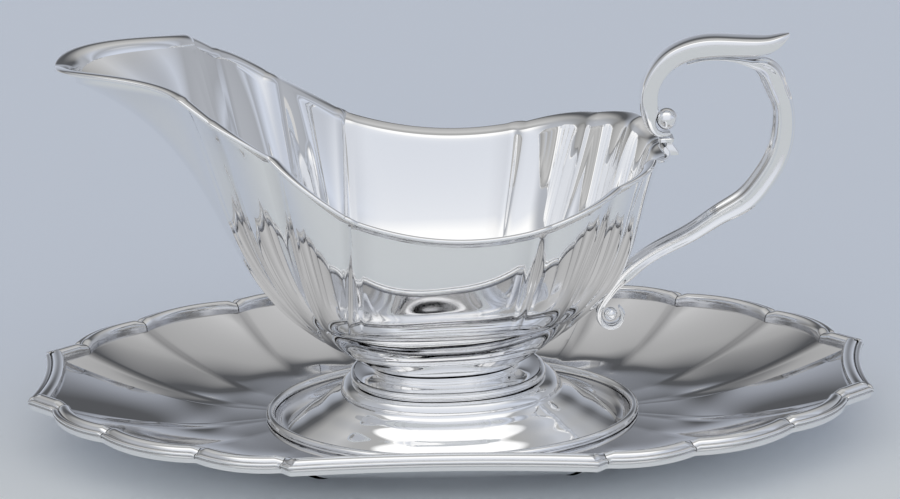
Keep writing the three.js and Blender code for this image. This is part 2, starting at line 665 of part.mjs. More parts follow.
// Stepped bracket: a cap over the back of the lip, and a flaring block behind it.
const lipTop = BOWL_SHEET + SEAT - 0.1;
const bracketShape = new THREE.Shape([
  [-1.4, lipTop], [-1.4, lipTop + 1.3], [3.5, lipTop + 1.3], [3.5, lipTop + 0.1], [2.9, lipTop - 0.3],
  [3.2, lipTop - 0.9], [4.9, -1.6], [4.9, -2.4], [SEAT + 0.7, -2.4], [SEAT + 0.7, lipTop],
].map(([x, z]) => new THREE.Vector2(REAR_X + x, REAR_RISE + z)));
const bracket = new THREE.ExtrudeGeometry(bracketShape, { depth: BRACKET_DEPTH * 2, bevelEnabled: false });
bracket.translate(0, 0, -BRACKET_DEPTH);
bracket.rotateX(Math.PI / 2);
addMesh(upper, 'handle_bracket', bracket, bright);

export default group;
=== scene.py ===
"""The looks of a silver gravy boat on its fluted underplate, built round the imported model.

All sizes are the model's own, in millimetres, and become metres only when a mesh is made.
The plate lies along X with its middle at the origin, and the boat stands a little turned in it.
"""

import enum
import logging
import math
from dataclasses import dataclass, field

import bpy
import numpy as np
from mathutils import Matrix, Vector


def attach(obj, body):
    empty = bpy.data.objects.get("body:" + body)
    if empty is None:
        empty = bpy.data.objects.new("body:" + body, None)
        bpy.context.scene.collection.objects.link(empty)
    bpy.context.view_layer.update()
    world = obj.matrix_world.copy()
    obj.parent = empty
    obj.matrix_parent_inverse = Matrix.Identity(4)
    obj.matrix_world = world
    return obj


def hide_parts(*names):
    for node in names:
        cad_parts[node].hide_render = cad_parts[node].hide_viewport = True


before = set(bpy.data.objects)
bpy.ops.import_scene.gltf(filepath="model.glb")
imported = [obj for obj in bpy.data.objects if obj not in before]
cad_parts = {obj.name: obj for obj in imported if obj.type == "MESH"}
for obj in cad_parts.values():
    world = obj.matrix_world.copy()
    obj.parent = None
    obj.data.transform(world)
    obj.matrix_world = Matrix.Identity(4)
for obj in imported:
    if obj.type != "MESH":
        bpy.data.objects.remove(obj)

LOG = logging.getLogger("gravy_boat")
MM = 0.001

Pair = tuple[float, float]
Triple = tuple[float, float, float]
Paint = tuple[float, float, float, float]
Spine = tuple[tuple[float, ...], ...]
Socket = bpy.types.NodeSocket


class Body(enum.Enum):
    """The two bodies of the model that a piece can ride on."""

    PLATE = "plate"
    BOAT = "boat"


class Side(enum.Enum):
    """What one side of the plate's outline is."""

    LOBE = "lobe"
    SHORT = "side"
    RETURN = "return"
    MIDDLE = "mid"
    END = "end"


# ---------------------------------------------------------------- surfaces


def unit(vectors: np.ndarray) -> np.ndarray:
    """Scale each vector of an array to length one.

    Args:
        vectors: Vectors along the last axis.

    Returns:
        The same vectors at length one.
    """
    return vectors / np.maximum(np.linalg.norm(vectors, axis=-1, keepdims=True), 1e-12)


def smoothstep(value: np.ndarray, low: float, high: float) -> np.ndarray:
    """Ease from 0 to 1 between two values: s squared times 3 minus 2 s."""
    s = np.clip((value - low) / (high - low), 0.0, 1.0)
    return s * s * (3.0 - 2.0 * s)


def oval(a: np.ndarray, b: np.ndarray, angle: np.ndarray, fullness: float = 2.0) -> np.ndarray:
    """Points of an oval: each of cosine and sine is raised to 2 over the fullness.

    Args:
        a: Half length.
        b: Half width.
        angle: Angle round the oval, in radians.
        fullness: 2 is a plain oval, and more fills its corners.

    Returns:
        The points, as x and y along the last axis.
    """
    c, s = np.cos(angle), np.sin(angle)
    power = 2.0 / fullness
    return np.stack([a * np.sign(c) * np.abs(c) ** power, b * np.sign(s) * np.abs(s) ** power], -1)


def turns(count: int) -> np.ndarray:
    """Equal angles once round, in radians, without the last one, which is the first again."""
    return np.linspace(0.0, 2.0 * math.pi, count, endpoint=False)


def level_ring(plan: np.ndarray, height: float) -> np.ndarray:
    """The points of a plan, x and y, as a ring at one height."""
    return np.column_stack([plan, np.full(len(plan), height)])


def bezier(points: list[np.ndarray], t: np.ndarray) -> np.ndarray:
    """Blend two to four guide points by the Bernstein weights of t.

    Args:
        points: The guide points, each an array that broadcasts with t.
        t: Place along the curve, 0 to 1, with a last axis of one.

    Returns:
        The points of the curve.
    """
    n = len(points) - 1
    return sum(math.comb(n, k) * (1.0 - t) ** (n - k) * t**k * p for k, p in enumerate(points))


def arc(p: np.ndarray, q: np.ndarray, bulge: float, steps: int) -> np.ndarray:
    """Circular arc in plan: the chord plus a rise of sqrt(r^2 - along^2) - (r - bulge) to its right.

    Args:
        p: First end.
        q: Last end.
        bulge: Rise at the middle, or a hollow where negative.
        steps: How many equal steps the chord has.

    Returns:
        The steps + 1 points.
    """
    chord = q - p
    half = np.linalg.norm(chord) / 2.0
    right = np.array([chord[1], -chord[0]]) / (2.0 * half)
    t = np.linspace(0.0, 1.0, steps + 1)[:, None]
    size = abs(bulge)
    if size < 1e-9:
        return p + chord * t
    radius = (half * half + size * size) / (2.0 * size)
    rise = np.sqrt(radius**2 - ((2.0 * t - 1.0) * half) ** 2) - (radius - size)
    return p + chord * t + right * rise * np.sign(bulge)


def spline(points: np.ndarray, count: int, closed: bool = False) -> np.ndarray:
    """Natural cubic spline through points, spaced by chord length.

    The second derivatives solve the usual three-term system, so the curve has no kink at a point.

    Args:
        points: The points, in rows of any width.
        count: How many samples to return.
        closed: Whether the curve runs back to its first point.

    Returns:
        The samples, evenly spaced by chord length.
    """
    p = np.asarray(points, float)
    if closed:
        p = np.vstack([p[-3:], p, p[:4]])
    step = np.maximum(np.linalg.norm(np.diff(p[:, :2], axis=0), axis=1), 1e-6)
    knot = np.concatenate([[0.0], np.cumsum(step)])
    n = len(p)
    system, right = np.eye(n), np.zeros_like(p)
    inner = np.arange(1, n - 1)
    system[inner, inner - 1] = step[:-1]
    system[inner, inner] = 2.0 * (step[:-1] + step[1:])
    system[inner, inner + 1] = step[1:]
    slope = np.diff(p, axis=0) / step[:, None]
    right[1:-1] = 6.0 * np.diff(slope, axis=0)
    bend = np.linalg.solve(system, right)
    first, last = (knot[3], knot[n - 4]) if closed else (knot[0], knot[-1])
    at = np.linspace(first, last, count, endpoint=not closed)
    i = np.clip(np.searchsorted(knot, at, side="right") - 1, 0, n - 2)
    h = step[i][:, None]
    a = ((knot[i + 1] - at) / step[i])[:, None]
    b = 1.0 - a
    curve = a * p[i] + b * p[i + 1]
    return curve + ((a**3 - a) * bend[i] + (b**3 - b) * bend[i + 1]) * h * h / 6.0


def offset(surface: np.ndarray, distance: float) -> np.ndarray:
    """Move a surface along its own normals, the cross product of its two grid directions.

    Args:
        surface: Grid of points, rows up and columns round, with the columns closed.
        distance: How far to move, outward where positive.

    Returns:
        The moved grid.
    """
    round_way = np.roll(surface, -1, 1) - np.roll(surface, 1, 1)
    up = np.gradient(surface, axis=0)
    return surface + unit(np.cross(round_way, up)) * distance


def rounded_edge(outer: np.ndarray, inner: np.ndarray, before: np.ndarray, steps: int) -> np.ndarray:
    """Half circle that closes the edge of a sheet, from its outer to its inner face.

    Args:
        outer: Last ring of the outer face.
        inner: Last ring of the inner face.
        before: Ring of the outer face before the last, which gives the sheet's direction.
        steps: How many rings to make.

    Returns:
        The rings between the two faces.
    """
    middle, half = (outer + inner) / 2.0, (outer - inner) / 2.0
    out = unit(outer - before) * np.linalg.norm(half, axis=-1, keepdims=True)
    angle = np.linspace(0.0, math.pi, steps + 2)[1:-1, None, None]
    return middle + half * np.cos(angle) + out * np.sin(angle)


@dataclass
class Solid:
    """A closed mesh: its points, and its faces as rows of three and of four numbers."""

    points: np.ndarray
    threes: np.ndarray
    fours: np.ndarray

    def volume(self) -> float:
        """Volume inside the faces.

        Returns:
            A sixth of the sum of a . (b x c) over their triangles.
        """
        halves = [self.threes, self.fours[:, [0, 1, 2]], self.fours[:, [0, 2, 3]]]
        a, b, c = (self.points[np.vstack(halves)[:, k]] for k in range(3))
        return float(np.einsum("ij,ij->", a, np.cross(b, c))) / 6.0

    def outward(self) -> "Solid":
        """Turn the faces out where they face in.

        Returns:
            This solid, or one whose faces run the other way round.
        """
        if self.volume() >= 0.0:
            return self
        return Solid(self.points, self.threes[:, ::-1], self.fours[:, ::-1])


def ring_solid(rings: np.ndarray, wrapped: bool = False) -> Solid:
    """Skin a stack of closed rings, with a fan at each end or wrapped round on itself.

    Args:
        rings: Points as rings, points of a ring, and x, y, z.
        wrapped: Whether the last ring joins the first.

    Returns:
        The closed solid.
    """
    count, size, _ = rings.shape
    points = rings.reshape(-1, 3)
    rows = np.arange(count if wrapped else count - 1)[:, None]
    i = np.arange(size)[None, :]
    j = (i + 1) % size
    up = (rows + 1) % count
    corners = [rows * size + i, rows * size + j, up * size + j, up * size + i]
    fours = np.stack([c.ravel() for c in np.broadcast_arrays(*corners)], -1)
    if wrapped:
        return Solid(points, np.zeros((0, 3), int), fours).outward()
    hubs = np.stack([rings[0].mean(0), rings[-1].mean(0)])
    low = np.stack([np.full(size, len(points)), j[0], i[0]], -1)
    top = (count - 1) * size
    high = np.stack([np.full(size, len(points) + 1), top + i[0], top + j[0]], -1)
    return Solid(np.vstack([points, hubs]), np.vstack([low, high]), fours).outward()


def swept(centres: np.ndarray, outs: np.ndarray, sides: np.ndarray, section: np.ndarray) -> Solid:
    """Carry a section along a path: centre + n times the out vector + y times the side vector.

    Args:
        centres: Points of the path.
        outs: Out vector at each point, with its length.
        sides: Side vector at each point, with its length.
        section: Section as n and y.

    Returns:
        The closed bar.
    """
    n, y = section[None, :, :1], section[None, :, 1:]
    return ring_solid(centres[:, None, :] + outs[:, None, :] * n + sides[:, None, :] * y)


# ---------------------------------------------------------------- finishes


# The polishing lines: how each set is turned, how it is drawn out, and how deep it is in metres.
LINE_TURNS = ((0.2, 0.5, 0.9), (1.1, 0.3, 2.3))
LINE_SCALE = (60.0, 2600.0, 900.0)
LINE_DEPTH = 0.00002
# Which clouds count as haze, and how much rougher the surface is where the painted shade is full.
HAZE_SPAN = (0.45, 0.8)
SHADE_ROUGHNESS = 0.12


class Nodes:
    """Short ways to add and join shader nodes in one tree."""

    def __init__(self, tree: bpy.types.NodeTree) -> None:
        """Keep the tree that the nodes go into."""
        self.tree = tree

    def put(self, socket: Socket, value: object) -> None:
        """Fill a socket.

        Args:
            socket: The input.
            value: An output, which is linked to it, or a plain value, which is set.
        """
        if isinstance(value, Socket):
            self.tree.links.new(value, socket)
        else:
            socket.default_value = value

    def feed(self, node: bpy.types.Node, **settings: object) -> bpy.types.Node:
        """Fill a node's inputs and set its properties.

        Args:
            node: The node.
            settings: By the name of an input, with its spaces as underscores, or of a property.

        Returns:
            The same node.
        """
        for name, value in settings.items():
            socket = node.inputs.get(name.replace("_", " "))
            if socket is None:
                setattr(node, name, value)
            else:
                self.put(socket, value)
        return node

    def add(self, kind: str, **settings: object) -> bpy.types.Node:
        """Add a node of a kind, and feed it."""
        return self.feed(self.tree.nodes.new(kind), **settings)

    def math(self, operation: str, *values: object) -> Socket:
        """Add a maths node.

        Args:
            operation: What it works out.
            values: What goes into its inputs, in order.

        Returns:
            Its result.
        """
        node = self.add("ShaderNodeMath", operation=operation)
        for socket, value in zip(node.inputs, values):
            self.put(socket, value)
        return node.outputs[0]

    def ease(self, value: Socket, span: Pair) -> Socket:
        """A share that eases from 0 to 1 while a value goes from one end of a span to the other.

        Args:
            value: The value.
            span: The two ends.

        Returns:
            The share.
        """
        made = self.add("ShaderNodeMapRange", interpolation_type="SMOOTHSTEP", Value=value)
        return self.feed(made, From_Min=span[0], From_Max=span[1]).outputs["Result"]

    def blend(self, share: Socket, first: object, last: object) -> Socket:
        """A colour that goes from the first to the last one with the share."""
        return self.add("ShaderNodeMix", data_type="RGBA", Factor=share, A=first, B=last).outputs["Result"]


def polish_marks_and_shade() -> bpy.types.NodeTree:
    """Node group of what years of polishing leave on silver, and of painted shade.

    Hair-fine lines in two directions and soft clouds of haze change the roughness and the height,
    and painted shade turns the colour grey and rougher where the piece's own shade attribute is high.

    Returns:
        The node group, with outputs Color, Roughness and Height.
    """
    name = "polish_marks_and_shade"
    if name in bpy.data.node_groups:
        return bpy.data.node_groups[name]
    group = bpy.data.node_groups.new(name, "ShaderNodeTree")
    for way, kind, titles in (
        ("INPUT", "NodeSocketColor", ("Silver", "Film")),
        ("INPUT", "NodeSocketFloat", ("Film Amount", "Polish", "Haze")),
        ("OUTPUT", "NodeSocketColor", ("Color",)),
        ("OUTPUT", "NodeSocketFloat", ("Roughness", "Height")),
    ):
        for title in titles:
            group.interface.new_socket(title, in_out=way, socket_type=kind)
    n = Nodes(group)
    given = n.add("NodeGroupInput").outputs
    place = n.add("ShaderNodeTexCoord").outputs["Object"]
    lines = []
    for turn in LINE_TURNS:
        drawn = n.add("ShaderNodeMapping", Vector=place, Rotation=turn, Scale=LINE_SCALE).outputs["Vector"]
        fine = n.add("ShaderNodeTexNoise", Vector=drawn, Scale=1.0, Detail=2.0, Roughness=0.7)
        lines.append(fine.outputs["Fac"])
    clouds = n.add("ShaderNodeTexNoise", Vector=place, Scale=38.0, Detail=5.0, Roughness=0.6).outputs["Fac"]
    dull = n.math("MULTIPLY_ADD", n.ease(clouds, HAZE_SPAN), given["Haze"], given["Polish"])
    # Painted shade: by the per-point shade attribute, the colour goes from silver to grey and the surface
    # gets rougher.
    painted_shade = n.add("ShaderNodeAttribute", attribute_name="painted_shade").outputs["Fac"]
    shaded = n.math("MULTIPLY", painted_shade, given["Film Amount"])
    n.add(
        "NodeGroupOutput",
        Color=n.blend(shaded, given["Silver"], given["Film"]),
        Roughness=n.math("MULTIPLY_ADD", shaded, SHADE_ROUGHNESS, dull),
        Height=n.math("ADD", *lines),
    )
    return group


@dataclass(frozen=True)
class SilverFinish:
    """One polished silver finish: its colour, how dark its painted shade is, and how fresh its polish is."""

    name: str
    silver: Triple = (0.95, 0.95, 0.95)
    # The grey of the painted shade, and how far it darkens the silver where the shade attribute is full.
    shade_colour: Triple = (0.45, 0.45, 0.46)
    shade_amount: float = 0.5
    polish: float = 0.025
    haze: float = 0.05
    lines: float = 0.03

    def material(self) -> bpy.types.Material:
        """Make the material, or return the one already made.

        Returns:
            A metal coloured by the silver and its painted shade, roughened by the polish marks and the
            painted shade, and bumped by the polish lines.
        """
        if self.name in bpy.data.materials:
            return bpy.data.materials[self.name]
        made = bpy.data.materials.new(self.name)
        made.use_nodes = True
        n = Nodes(made.node_tree)
        marks = n.add(
            "ShaderNodeGroup",
            node_tree=polish_marks_and_shade(),
            Silver=(*self.silver, 1.0),
            Film=(*self.shade_colour, 1.0),
            Film_Amount=self.shade_amount,
            Polish=self.polish,
            Haze=self.haze,
        ).outputs
        bump = n.add("ShaderNodeBump", Strength=self.lines, Distance=LINE_DEPTH, Height=marks["Height"])
        n.feed(
            made.node_tree.nodes["Principled BSDF"],
            Metallic=1.0,
            Base_Color=marks["Color"],
            Roughness=marks["Roughness"],
            Normal=bump.outputs["Normal"],
        )
        return made


BOWL_FINISH = SilverFinish("boat_polished_silver")
HANDLE_FINISH = SilverFinish("handle_cast_silver", shade_amount=0.7, polish=0.04)
DISH_FINISH = SilverFinish(
    "plate_polished_silver", silver=(0.9, 0.9, 0.91), shade_colour=(0.3, 0.3, 0.31), shade_amount=0.6, polish=0.05,
    haze=0.07,
)
BORDER_FINISH = SilverFinish("plate_border_silver", shade_amount=0.8, polish=0.045, haze=0.06)


@dataclass
class Piece:
    """One finished piece: its solid, what it stands for, and how it is dressed."""

    name: str
    solid: Solid
    nodes: list[str]
    body: Body
    finish: SilverFinish
    sharp: float = 50.0
    # Painted shade at each point, which darkens the silver; none where it is missing.
    painted_shade: np.ndarray | None = None

    def make(self) -> bpy.types.Object:
        """Put the piece into the scene in metres and tie it to the model.

        Returns:
            The new object, at the origin.
        """
        s = self.solid
        mesh = bpy.data.meshes.new(self.name)
        mesh.vertices.add(len(s.points))
        mesh.vertices.foreach_set("co", (s.points * MM).ravel())
        loops = np.concatenate([s.threes.ravel(), s.fours.ravel()])
        totals = np.concatenate([np.full(len(s.threes), 3), np.full(len(s.fours), 4)])
        mesh.loops.add(len(loops))
        mesh.loops.foreach_set("vertex_index", loops)
        mesh.polygons.add(len(totals))
        mesh.polygons.foreach_set("loop_start", np.concatenate([[0], np.cumsum(totals)[:-1]]))
        mesh.polygons.foreach_set("use_smooth", np.ones(len(totals), bool))
        mesh.update(calc_edges=True)
        mesh.set_sharp_from_angle(angle=math.radians(self.sharp))
        # The painted shade goes on as a per-point attribute that the material reads.
        shade = np.zeros(len(s.points)) if self.painted_shade is None else self.painted_shade
        mesh.attributes.new("painted_shade", "FLOAT", "POINT").data.foreach_set("value", shade)
        mesh.materials.append(self.finish.material())
        made = bpy.data.objects.new(self.name, mesh)
        bpy.context.scene.collection.objects.link(made)
        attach(made, self.body.value)
        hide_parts(*self.nodes)
        LOG.info("%s: %d points on %s", self.name, len(s.points), self.body.value)
        return made


def hub_values(values: np.ndarray, solid: Solid) -> np.ndarray:
    """Give the hubs of a ring solid the value of their own ring.

    Args:
        values: One value for each ring point, as rings and points.
        solid: The solid made from those rings.

    Returns:
        One value for each point of the solid.
    """
    ends = [values[0].mean(), values[-1].mean()]
    return np.concatenate([values.ravel(), ends])[: len(solid.points)]


# ---------------------------------------------------------------- underplate


@dataclass
class Length:
    """One side of the outline: its ends, its bulge, and its points with the way into the plate."""

    start: np.ndarray
    end: np.ndarray
    bulge: float
    steps: int
    kind: Side
    points: np.ndarray = field(init=False)
    inward: np.ndarray = field(init=False)

    def __post_init__(self) -> None:
        """Lay the points on the arc, and take the way into the plate at each."""
        self.points = arc(self.start, self.end, self.bulge, self.steps)
        along = unit(np.gradient(self.points, axis=0))
        self.inward = np.stack([-along[:, 1], along[:, 0]], -1)


# How deep the dish is scooped behind each kind of side.
SCOOPS = {Side.LOBE: 1.0, Side.END: 1.0, Side.SHORT: 0.4, Side.MIDDLE: 0.8, Side.RETURN: 0.0}


@dataclass
class Underplate:
    """The fluted dish with its border, its sunk well and the wire round the well."""

    tip: Pair = (130.0, 21.7)
    notches: tuple[Pair, ...] = ((121.5, 29.5), (104.0, 51.6), (74.2, 69.8), (48.2, 79.0))
    middle: Pair = (45.4, 82.0)
    end_hollow: float = 2.5
    mid_hollow: float = 2.7
    lobe_bulges: Triple = (3.4, 4.0, 3.2)
    sheet: float = 1.3
    rim_z: float = 18.0
    floor_z: float = 6.0
    ridge_start: float = 0.14
    ridge_curve: float = 1.9
    flute_start: float = 0.34
    knee: float = 0.1
    flute_lift: float = 2.3
    focus: float = 0.34
    border_width: float = 6.0
    border_height: float = 2.9
    overhang: float = 0.8
    flange_end: float = 5.3
    mitre_round: float = 1.6
    mitre_drop: float = 0.3
    base: Pair = (50.0, 36.5)
    well_flare: float = 5.5
    wire_width: float = 2.8
    wire_height: float = 2.1
    seat: float = 0.3
    run_steps: tuple[int, ...] = (2, 5, 5, 5, 1)
    mid_steps: int = 6
    end_steps: int = 4
    fine: int = 8
    top_rows: int = 60
    low_rows: int = 12
    wire_points: int = 240
    # How thin the painted dark lines along the flute ridges are, and how dark the painted shade is in the
    # well beside the wire.
    ridge_fineness: int = 20
    well_painted_shade: float = 0.6

    def outline(self) -> list[Length]:
        """Lay out the sides counterclockwise, each with its points and the way into the plate.

        Returns:
            The sides in order, starting beside the handle end.
        """
        spots = [np.array(p) for p in (self.tip, *self.notches, self.middle)]
        kinds = [Side.SHORT, Side.LOBE, Side.LOBE, Side.LOBE, Side.RETURN]
        bulges = [0.0, *self.lobe_bulges, 0.0]
        run = list(zip(spots[:-1], spots[1:], bulges, self.run_steps, kinds))
        middle = (spots[-1], spots[-1] * (-1, 1), -self.mid_hollow, self.mid_steps, Side.MIDDLE)
        end = (spots[0], spots[0] * (1, -1), -self.end_hollow, self.end_steps, Side.END)
        back = [(b, a, *rest) for a, b, *rest in run[::-1]]
        sides: list[Length] = []
        for flip in ((1, 1), (-1, 1), (-1, -1), (1, -1)):
            rows = [*run, middle] if flip[0] == flip[1] else [*back, end]
            sides += [Length(a * flip, b * flip, bulge, n * self.fine, kind) for a, b, bulge, n, kind in rows]
        for before, s in zip(sides[-1:] + sides[:-1], sides):
            n1, n2 = before.inward[-1].copy(), s.inward[0].copy()
            shared = (n1 + n2) / (1.0 + n1 @ n2)
            before.inward[-1] = s.inward[0] = shared
        return sides

    def well_top(self, grow: float = 0.0) -> Pair:
        """Half length and half width of the well at its top, both grown alike."""
        return self.base[0] + self.well_flare + grow, self.base[1] + self.well_flare + grow

    def to_oval(self, edge: np.ndarray, a: float, b: float) -> np.ndarray:
        """Where the line from each edge point to its focus on the long axis meets an oval.

        Args:
            edge: Points on the rim.
            a: Half length of the oval.
            b: Half width of the oval.

        Returns:
            The points on the oval, by the quadratic formula.
        """
        fx = edge[:, 0] * self.focus
        dx = edge[:, 0] - fx
        qa = (dx / a) ** 2 + (edge[:, 1] / b) ** 2
        qb, qc = 2.0 * fx * dx / a**2, (fx / a) ** 2 - 1.0
        t = (-qb + np.sqrt(qb**2 - 4.0 * qa * qc)) / (2.0 * qa)
        return np.stack([fx + dx * t, edge[:, 1] * t], -1)

    def dish(self, sides: list[Length]) -> Piece:
        """The dish: flat round the well, then scooped flutes that rise between ridges to the rim.

        A ridge rises as ((share - start) / (1 - start)) to the power of its curve. The middle of a flute
        stays flat for longer, turns up in a knee, and rises as (lift u + u squared) / (lift + 1) from there.

        Args:
            sides: The outline.

        Returns:
            The dish as one closed sheet.
        """
        edge, shoulder = (
            np.vstack([s.points[:-1] + s.inward[:-1] * inset for s in sides])
            for inset in (self.overhang, self.flange_end)
        )
        across = np.concatenate([np.linspace(-1.0, 1.0, len(s.points))[:-1] for s in sides])
        scoop = np.concatenate([np.full(len(s.points) - 1, SCOOPS[s.kind]) for s in sides])
        scoop = sum(np.roll(scoop * (1.0 - across**2), k) for k in range(-2, 3)) / 5.0
        start = self.to_oval(edge, *self.well_top(self.wire_width))

        def panel(shares: np.ndarray, drop: float) -> np.ndarray:
            """Rings of the dish from the well's wire to the border.

            Args:
                shares: Shares of the way out.
                drop: How far under the upper face they lie.

            Returns:
                One ring for each share.
            """
            s = shares[:, None]
            ridge = np.clip((s - self.ridge_start) / (1.0 - self.ridge_start), 0.0, 1.0) ** self.ridge_curve
            past = (s - self.flute_start) / (1.0 - self.flute_start)
            u = (past + np.sqrt(past**2 + self.knee**2)) / (1.0 + math.sqrt(1.0 + self.knee**2))
            rise = ridge + ((self.flute_lift * u + u**2) / (self.flute_lift + 1.0) - ridge) * scoop
            plan = start + (shoulder - start) * s[..., None]
            z = self.floor_z + (self.rim_z - self.floor_z) * rise - drop
            return np.concatenate([plan, z[..., None]], -1)

        def well(reaches: np.ndarray, grow: float, lift: float) -> np.ndarray:
            """Rings of the well's rounded side, a quarter oval from the base up.

            Args:
                reaches: Shares of the way out.
                grow: How much wider they reach than the upper face.
                lift: How far above the under face they lie.

            Returns:
                One ring for each share.
            """
            low, high = self.to_oval(edge, *self.base), self.to_oval(edge, *self.well_top(grow))
            plan = low + (high - low) * reaches[:, None, None]
            z = (self.floor_z - self.sheet) * (1.0 - np.sqrt(1.0 - reaches**2)) + lift
            return np.array([level_ring(ring, height) for ring, height in zip(plan, z)])

        reach = np.sin(np.linspace(0.0, math.pi / 2.0, self.low_rows))
        top, under = np.linspace(0.02, 1.0, self.top_rows), np.linspace(0.1, 1.0, self.low_rows)
        rings = [
            well(reach, self.sheet, 0.0),
            panel(under, self.sheet),
            np.array([level_ring(edge, z) for z in (self.rim_z - self.sheet, self.rim_z)]),
            panel(top[::-1], 0.0),
            well(reach[::-1], 0.0, self.sheet),
        ]
        solid = ring_solid(np.concatenate(rings))
        # Painted shade: thin dark lines along the ridges between the flutes, fading out towards the well, and
        # a dark band at the top of the well beside the wire; none on the underside.
        shades = np.concatenate([
            np.zeros((2 * self.low_rows + 2, len(edge))),
            np.abs(across) ** self.ridge_fineness * np.clip(top[::-1, None] * 2.0 - 0.3, 0.0, 1.0),
            np.outer((reach[::-1] > 0.9) * self.well_painted_shade, np.ones(len(edge))),
        ])
        painted_shade = hub_values(shades, solid)
        return Piece("dish_silver", solid, ["underplate_dish"], Body.PLATE, DISH_FINISH, 40.0, painted_shade)

    def border_section(self) -> tuple[np.ndarray, np.ndarray]:
        """Section of the border from outside in: a small reed, a groove, and a broad bead.

        Returns:
            The section as shares of its width and height, and how much painted shade each point gets.
        """
        small = np.linspace(math.pi * 1.05, math.pi * 0.12, 12)
        broad = np.linspace(math.pi * 0.93, 0.0, 20)
        reed = np.stack([0.15 + 0.15 * np.cos(small), 0.42 + 0.22 * np.sin(small)], -1)
        bead = np.stack([0.64 + 0.36 * np.cos(broad), 0.12 + 0.88 * np.sin(broad) ** 0.9], -1)
        foot = np.array([[0.03, 0.0], [0.02, 0.12], [0.06, 0.2], [0.04, 0.3]])
        points = np.vstack([foot, reed, bead, [[1.02, -0.3]]])
        # Painted shade: low on the outer edge where the border meets the dish, in the groove between reed and
        # bead, and growing down the bead's inner side.
        painted_shade = np.zeros(len(points))
        painted_shade[1:4] = 0.7
        painted_shade[len(foot) + 10 : len(foot) + 14] = 1.0
        painted_shade[-6:] = (0.2, 0.4, 0.6, 0.8, 0.9, 1.0)
        return points, painted_shade

    def border(self, name: str, run: list[Length]) -> Piece:
        """Carry the border's section along one or more sides, mitred at both ends.

        Args:
            name: The node that the length stands for.
            run: The sides that it follows.

        Returns:
            The length of border.
        """
        points = np.vstack([run[0].points[:1], *[s.points[1:] for s in run]])
        inward = np.vstack([run[0].inward[:1], *[s.inward[1:] for s in run]])
        points[0] += unit(points[1] - points[0]) * self.seat / 2.0
        points[-1] += unit(points[-2] - points[-1]) * self.seat / 2.0
        section, border_shade = self.border_section()
        plan = points[:, None, :] + inward[:, None, :] * section[None, :, :1] * self.border_width
        run_in = np.concatenate([[0.0], np.cumsum(np.linalg.norm(np.diff(points, axis=0), axis=1))])
        near_end = np.clip(np.minimum(run_in, run_in[-1] - run_in) / self.mitre_round, 0.0, 1.0)
        full = 1.0 - self.mitre_drop * (1.0 - np.sqrt(1.0 - (1.0 - near_end) ** 2))
        z = self.rim_z + self.seat + section[None, :, 1:] * self.border_height * full[:, None, None]
        rings = np.concatenate([plan, z], -1)
        solid = ring_solid(rings)
        painted_shade = hub_values(np.broadcast_to(border_shade, rings.shape[:2]), solid)
        return Piece(f"{name}_silver", solid, [name], Body.PLATE, BORDER_FINISH, 55.0, painted_shade)

    def borders(self, sides: list[Length]) -> list[Piece]:
        """Name and make the twenty lengths of border.

        Args:
            sides: The outline.

        Returns:
            The lengths, in order round the plate.
        """
        made: list[Piece] = []
        counts = {Side.LOBE: 0, Side.SHORT: 0}
        for k, s in enumerate(sides):
            if s.kind is Side.RETURN:
                continue
            if s.kind is Side.MIDDLE:
                name = "border_mid_far" if s.start[1] > 0 else "border_mid_near"
                made.append(self.border(name, [sides[k - 1], s, sides[k + 1]]))
            elif s.kind is Side.END:
                made.append(self.border("border_end_handle" if s.start[0] > 0 else "border_end_spout", [s]))
            else:
                counts[s.kind] += 1
                made.append(self.border(f"border_{s.kind.value}_{counts[s.kind]:02d}", [s]))
        return made

    def wire(self) -> Piece:
        """The half-round wire on the floor of the dish, round the edge of the well.

        Returns:
            The wire, whose section rises straight at its feet and then as the sine of its bow.
        """
        angle, bow = turns(self.wire_points), np.linspace(0.0, math.pi, 17)
        across = np.concatenate([[0.05], 0.5 - 0.5 * np.cos(bow), [0.95]]) * self.wire_width
        up = np.concatenate([[0.0], 0.15 + 0.85 * np.sin(bow), [0.0]]) * self.wire_height
        up += self.floor_z + self.seat
        rings = np.array([level_ring(oval(*self.well_top(o), angle), z) for o, z in zip(across, up)])
        return Piece("well_wire_silver", ring_solid(rings, True), ["well_wire"], Body.PLATE, BORDER_FINISH)

    def pieces(self) -> list[Piece]:
        """Every piece of the underplate."""
        sides = self.outline()
        return [self.dish(sides), *self.borders(sides), self.wire()]


# ---------------------------------------------------------------- boat


# How far round the cup from the keel, in degrees, the spout ends and the rear starts.
SPOUT_ENDS = 56.0
REAR_STARTS = 105.0


@dataclass
class Notch:
    """One notch of the bowl's rim: its place, its height above the neck, and its angle round the cup."""

    x: float
    y: float
    rise: float
    cup: float


@dataclass
class Stations:
    """What the bowl is drawn from at each place round it, one row for each place."""

    rim: np.ndarray
    out: np.ndarray
    angle: np.ndarray
    edge: np.ndarray
    fold: np.ndarray
    flute: np.ndarray
    keel: np.ndarray

    @property
    def spout(self) -> np.ndarray:
        """How much each place is part of the spout: 1 on its keel, and 0 where it ends."""
        return 1.0 - smoothstep(self.fold, 0.0, SPOUT_ENDS)

    @property
    def rear(self) -> np.ndarray:
        """How much each place is part of the rear: 0 where it starts, and 1 at its middle."""
        return smoothstep(self.fold, REAR_STARTS, 180.0)


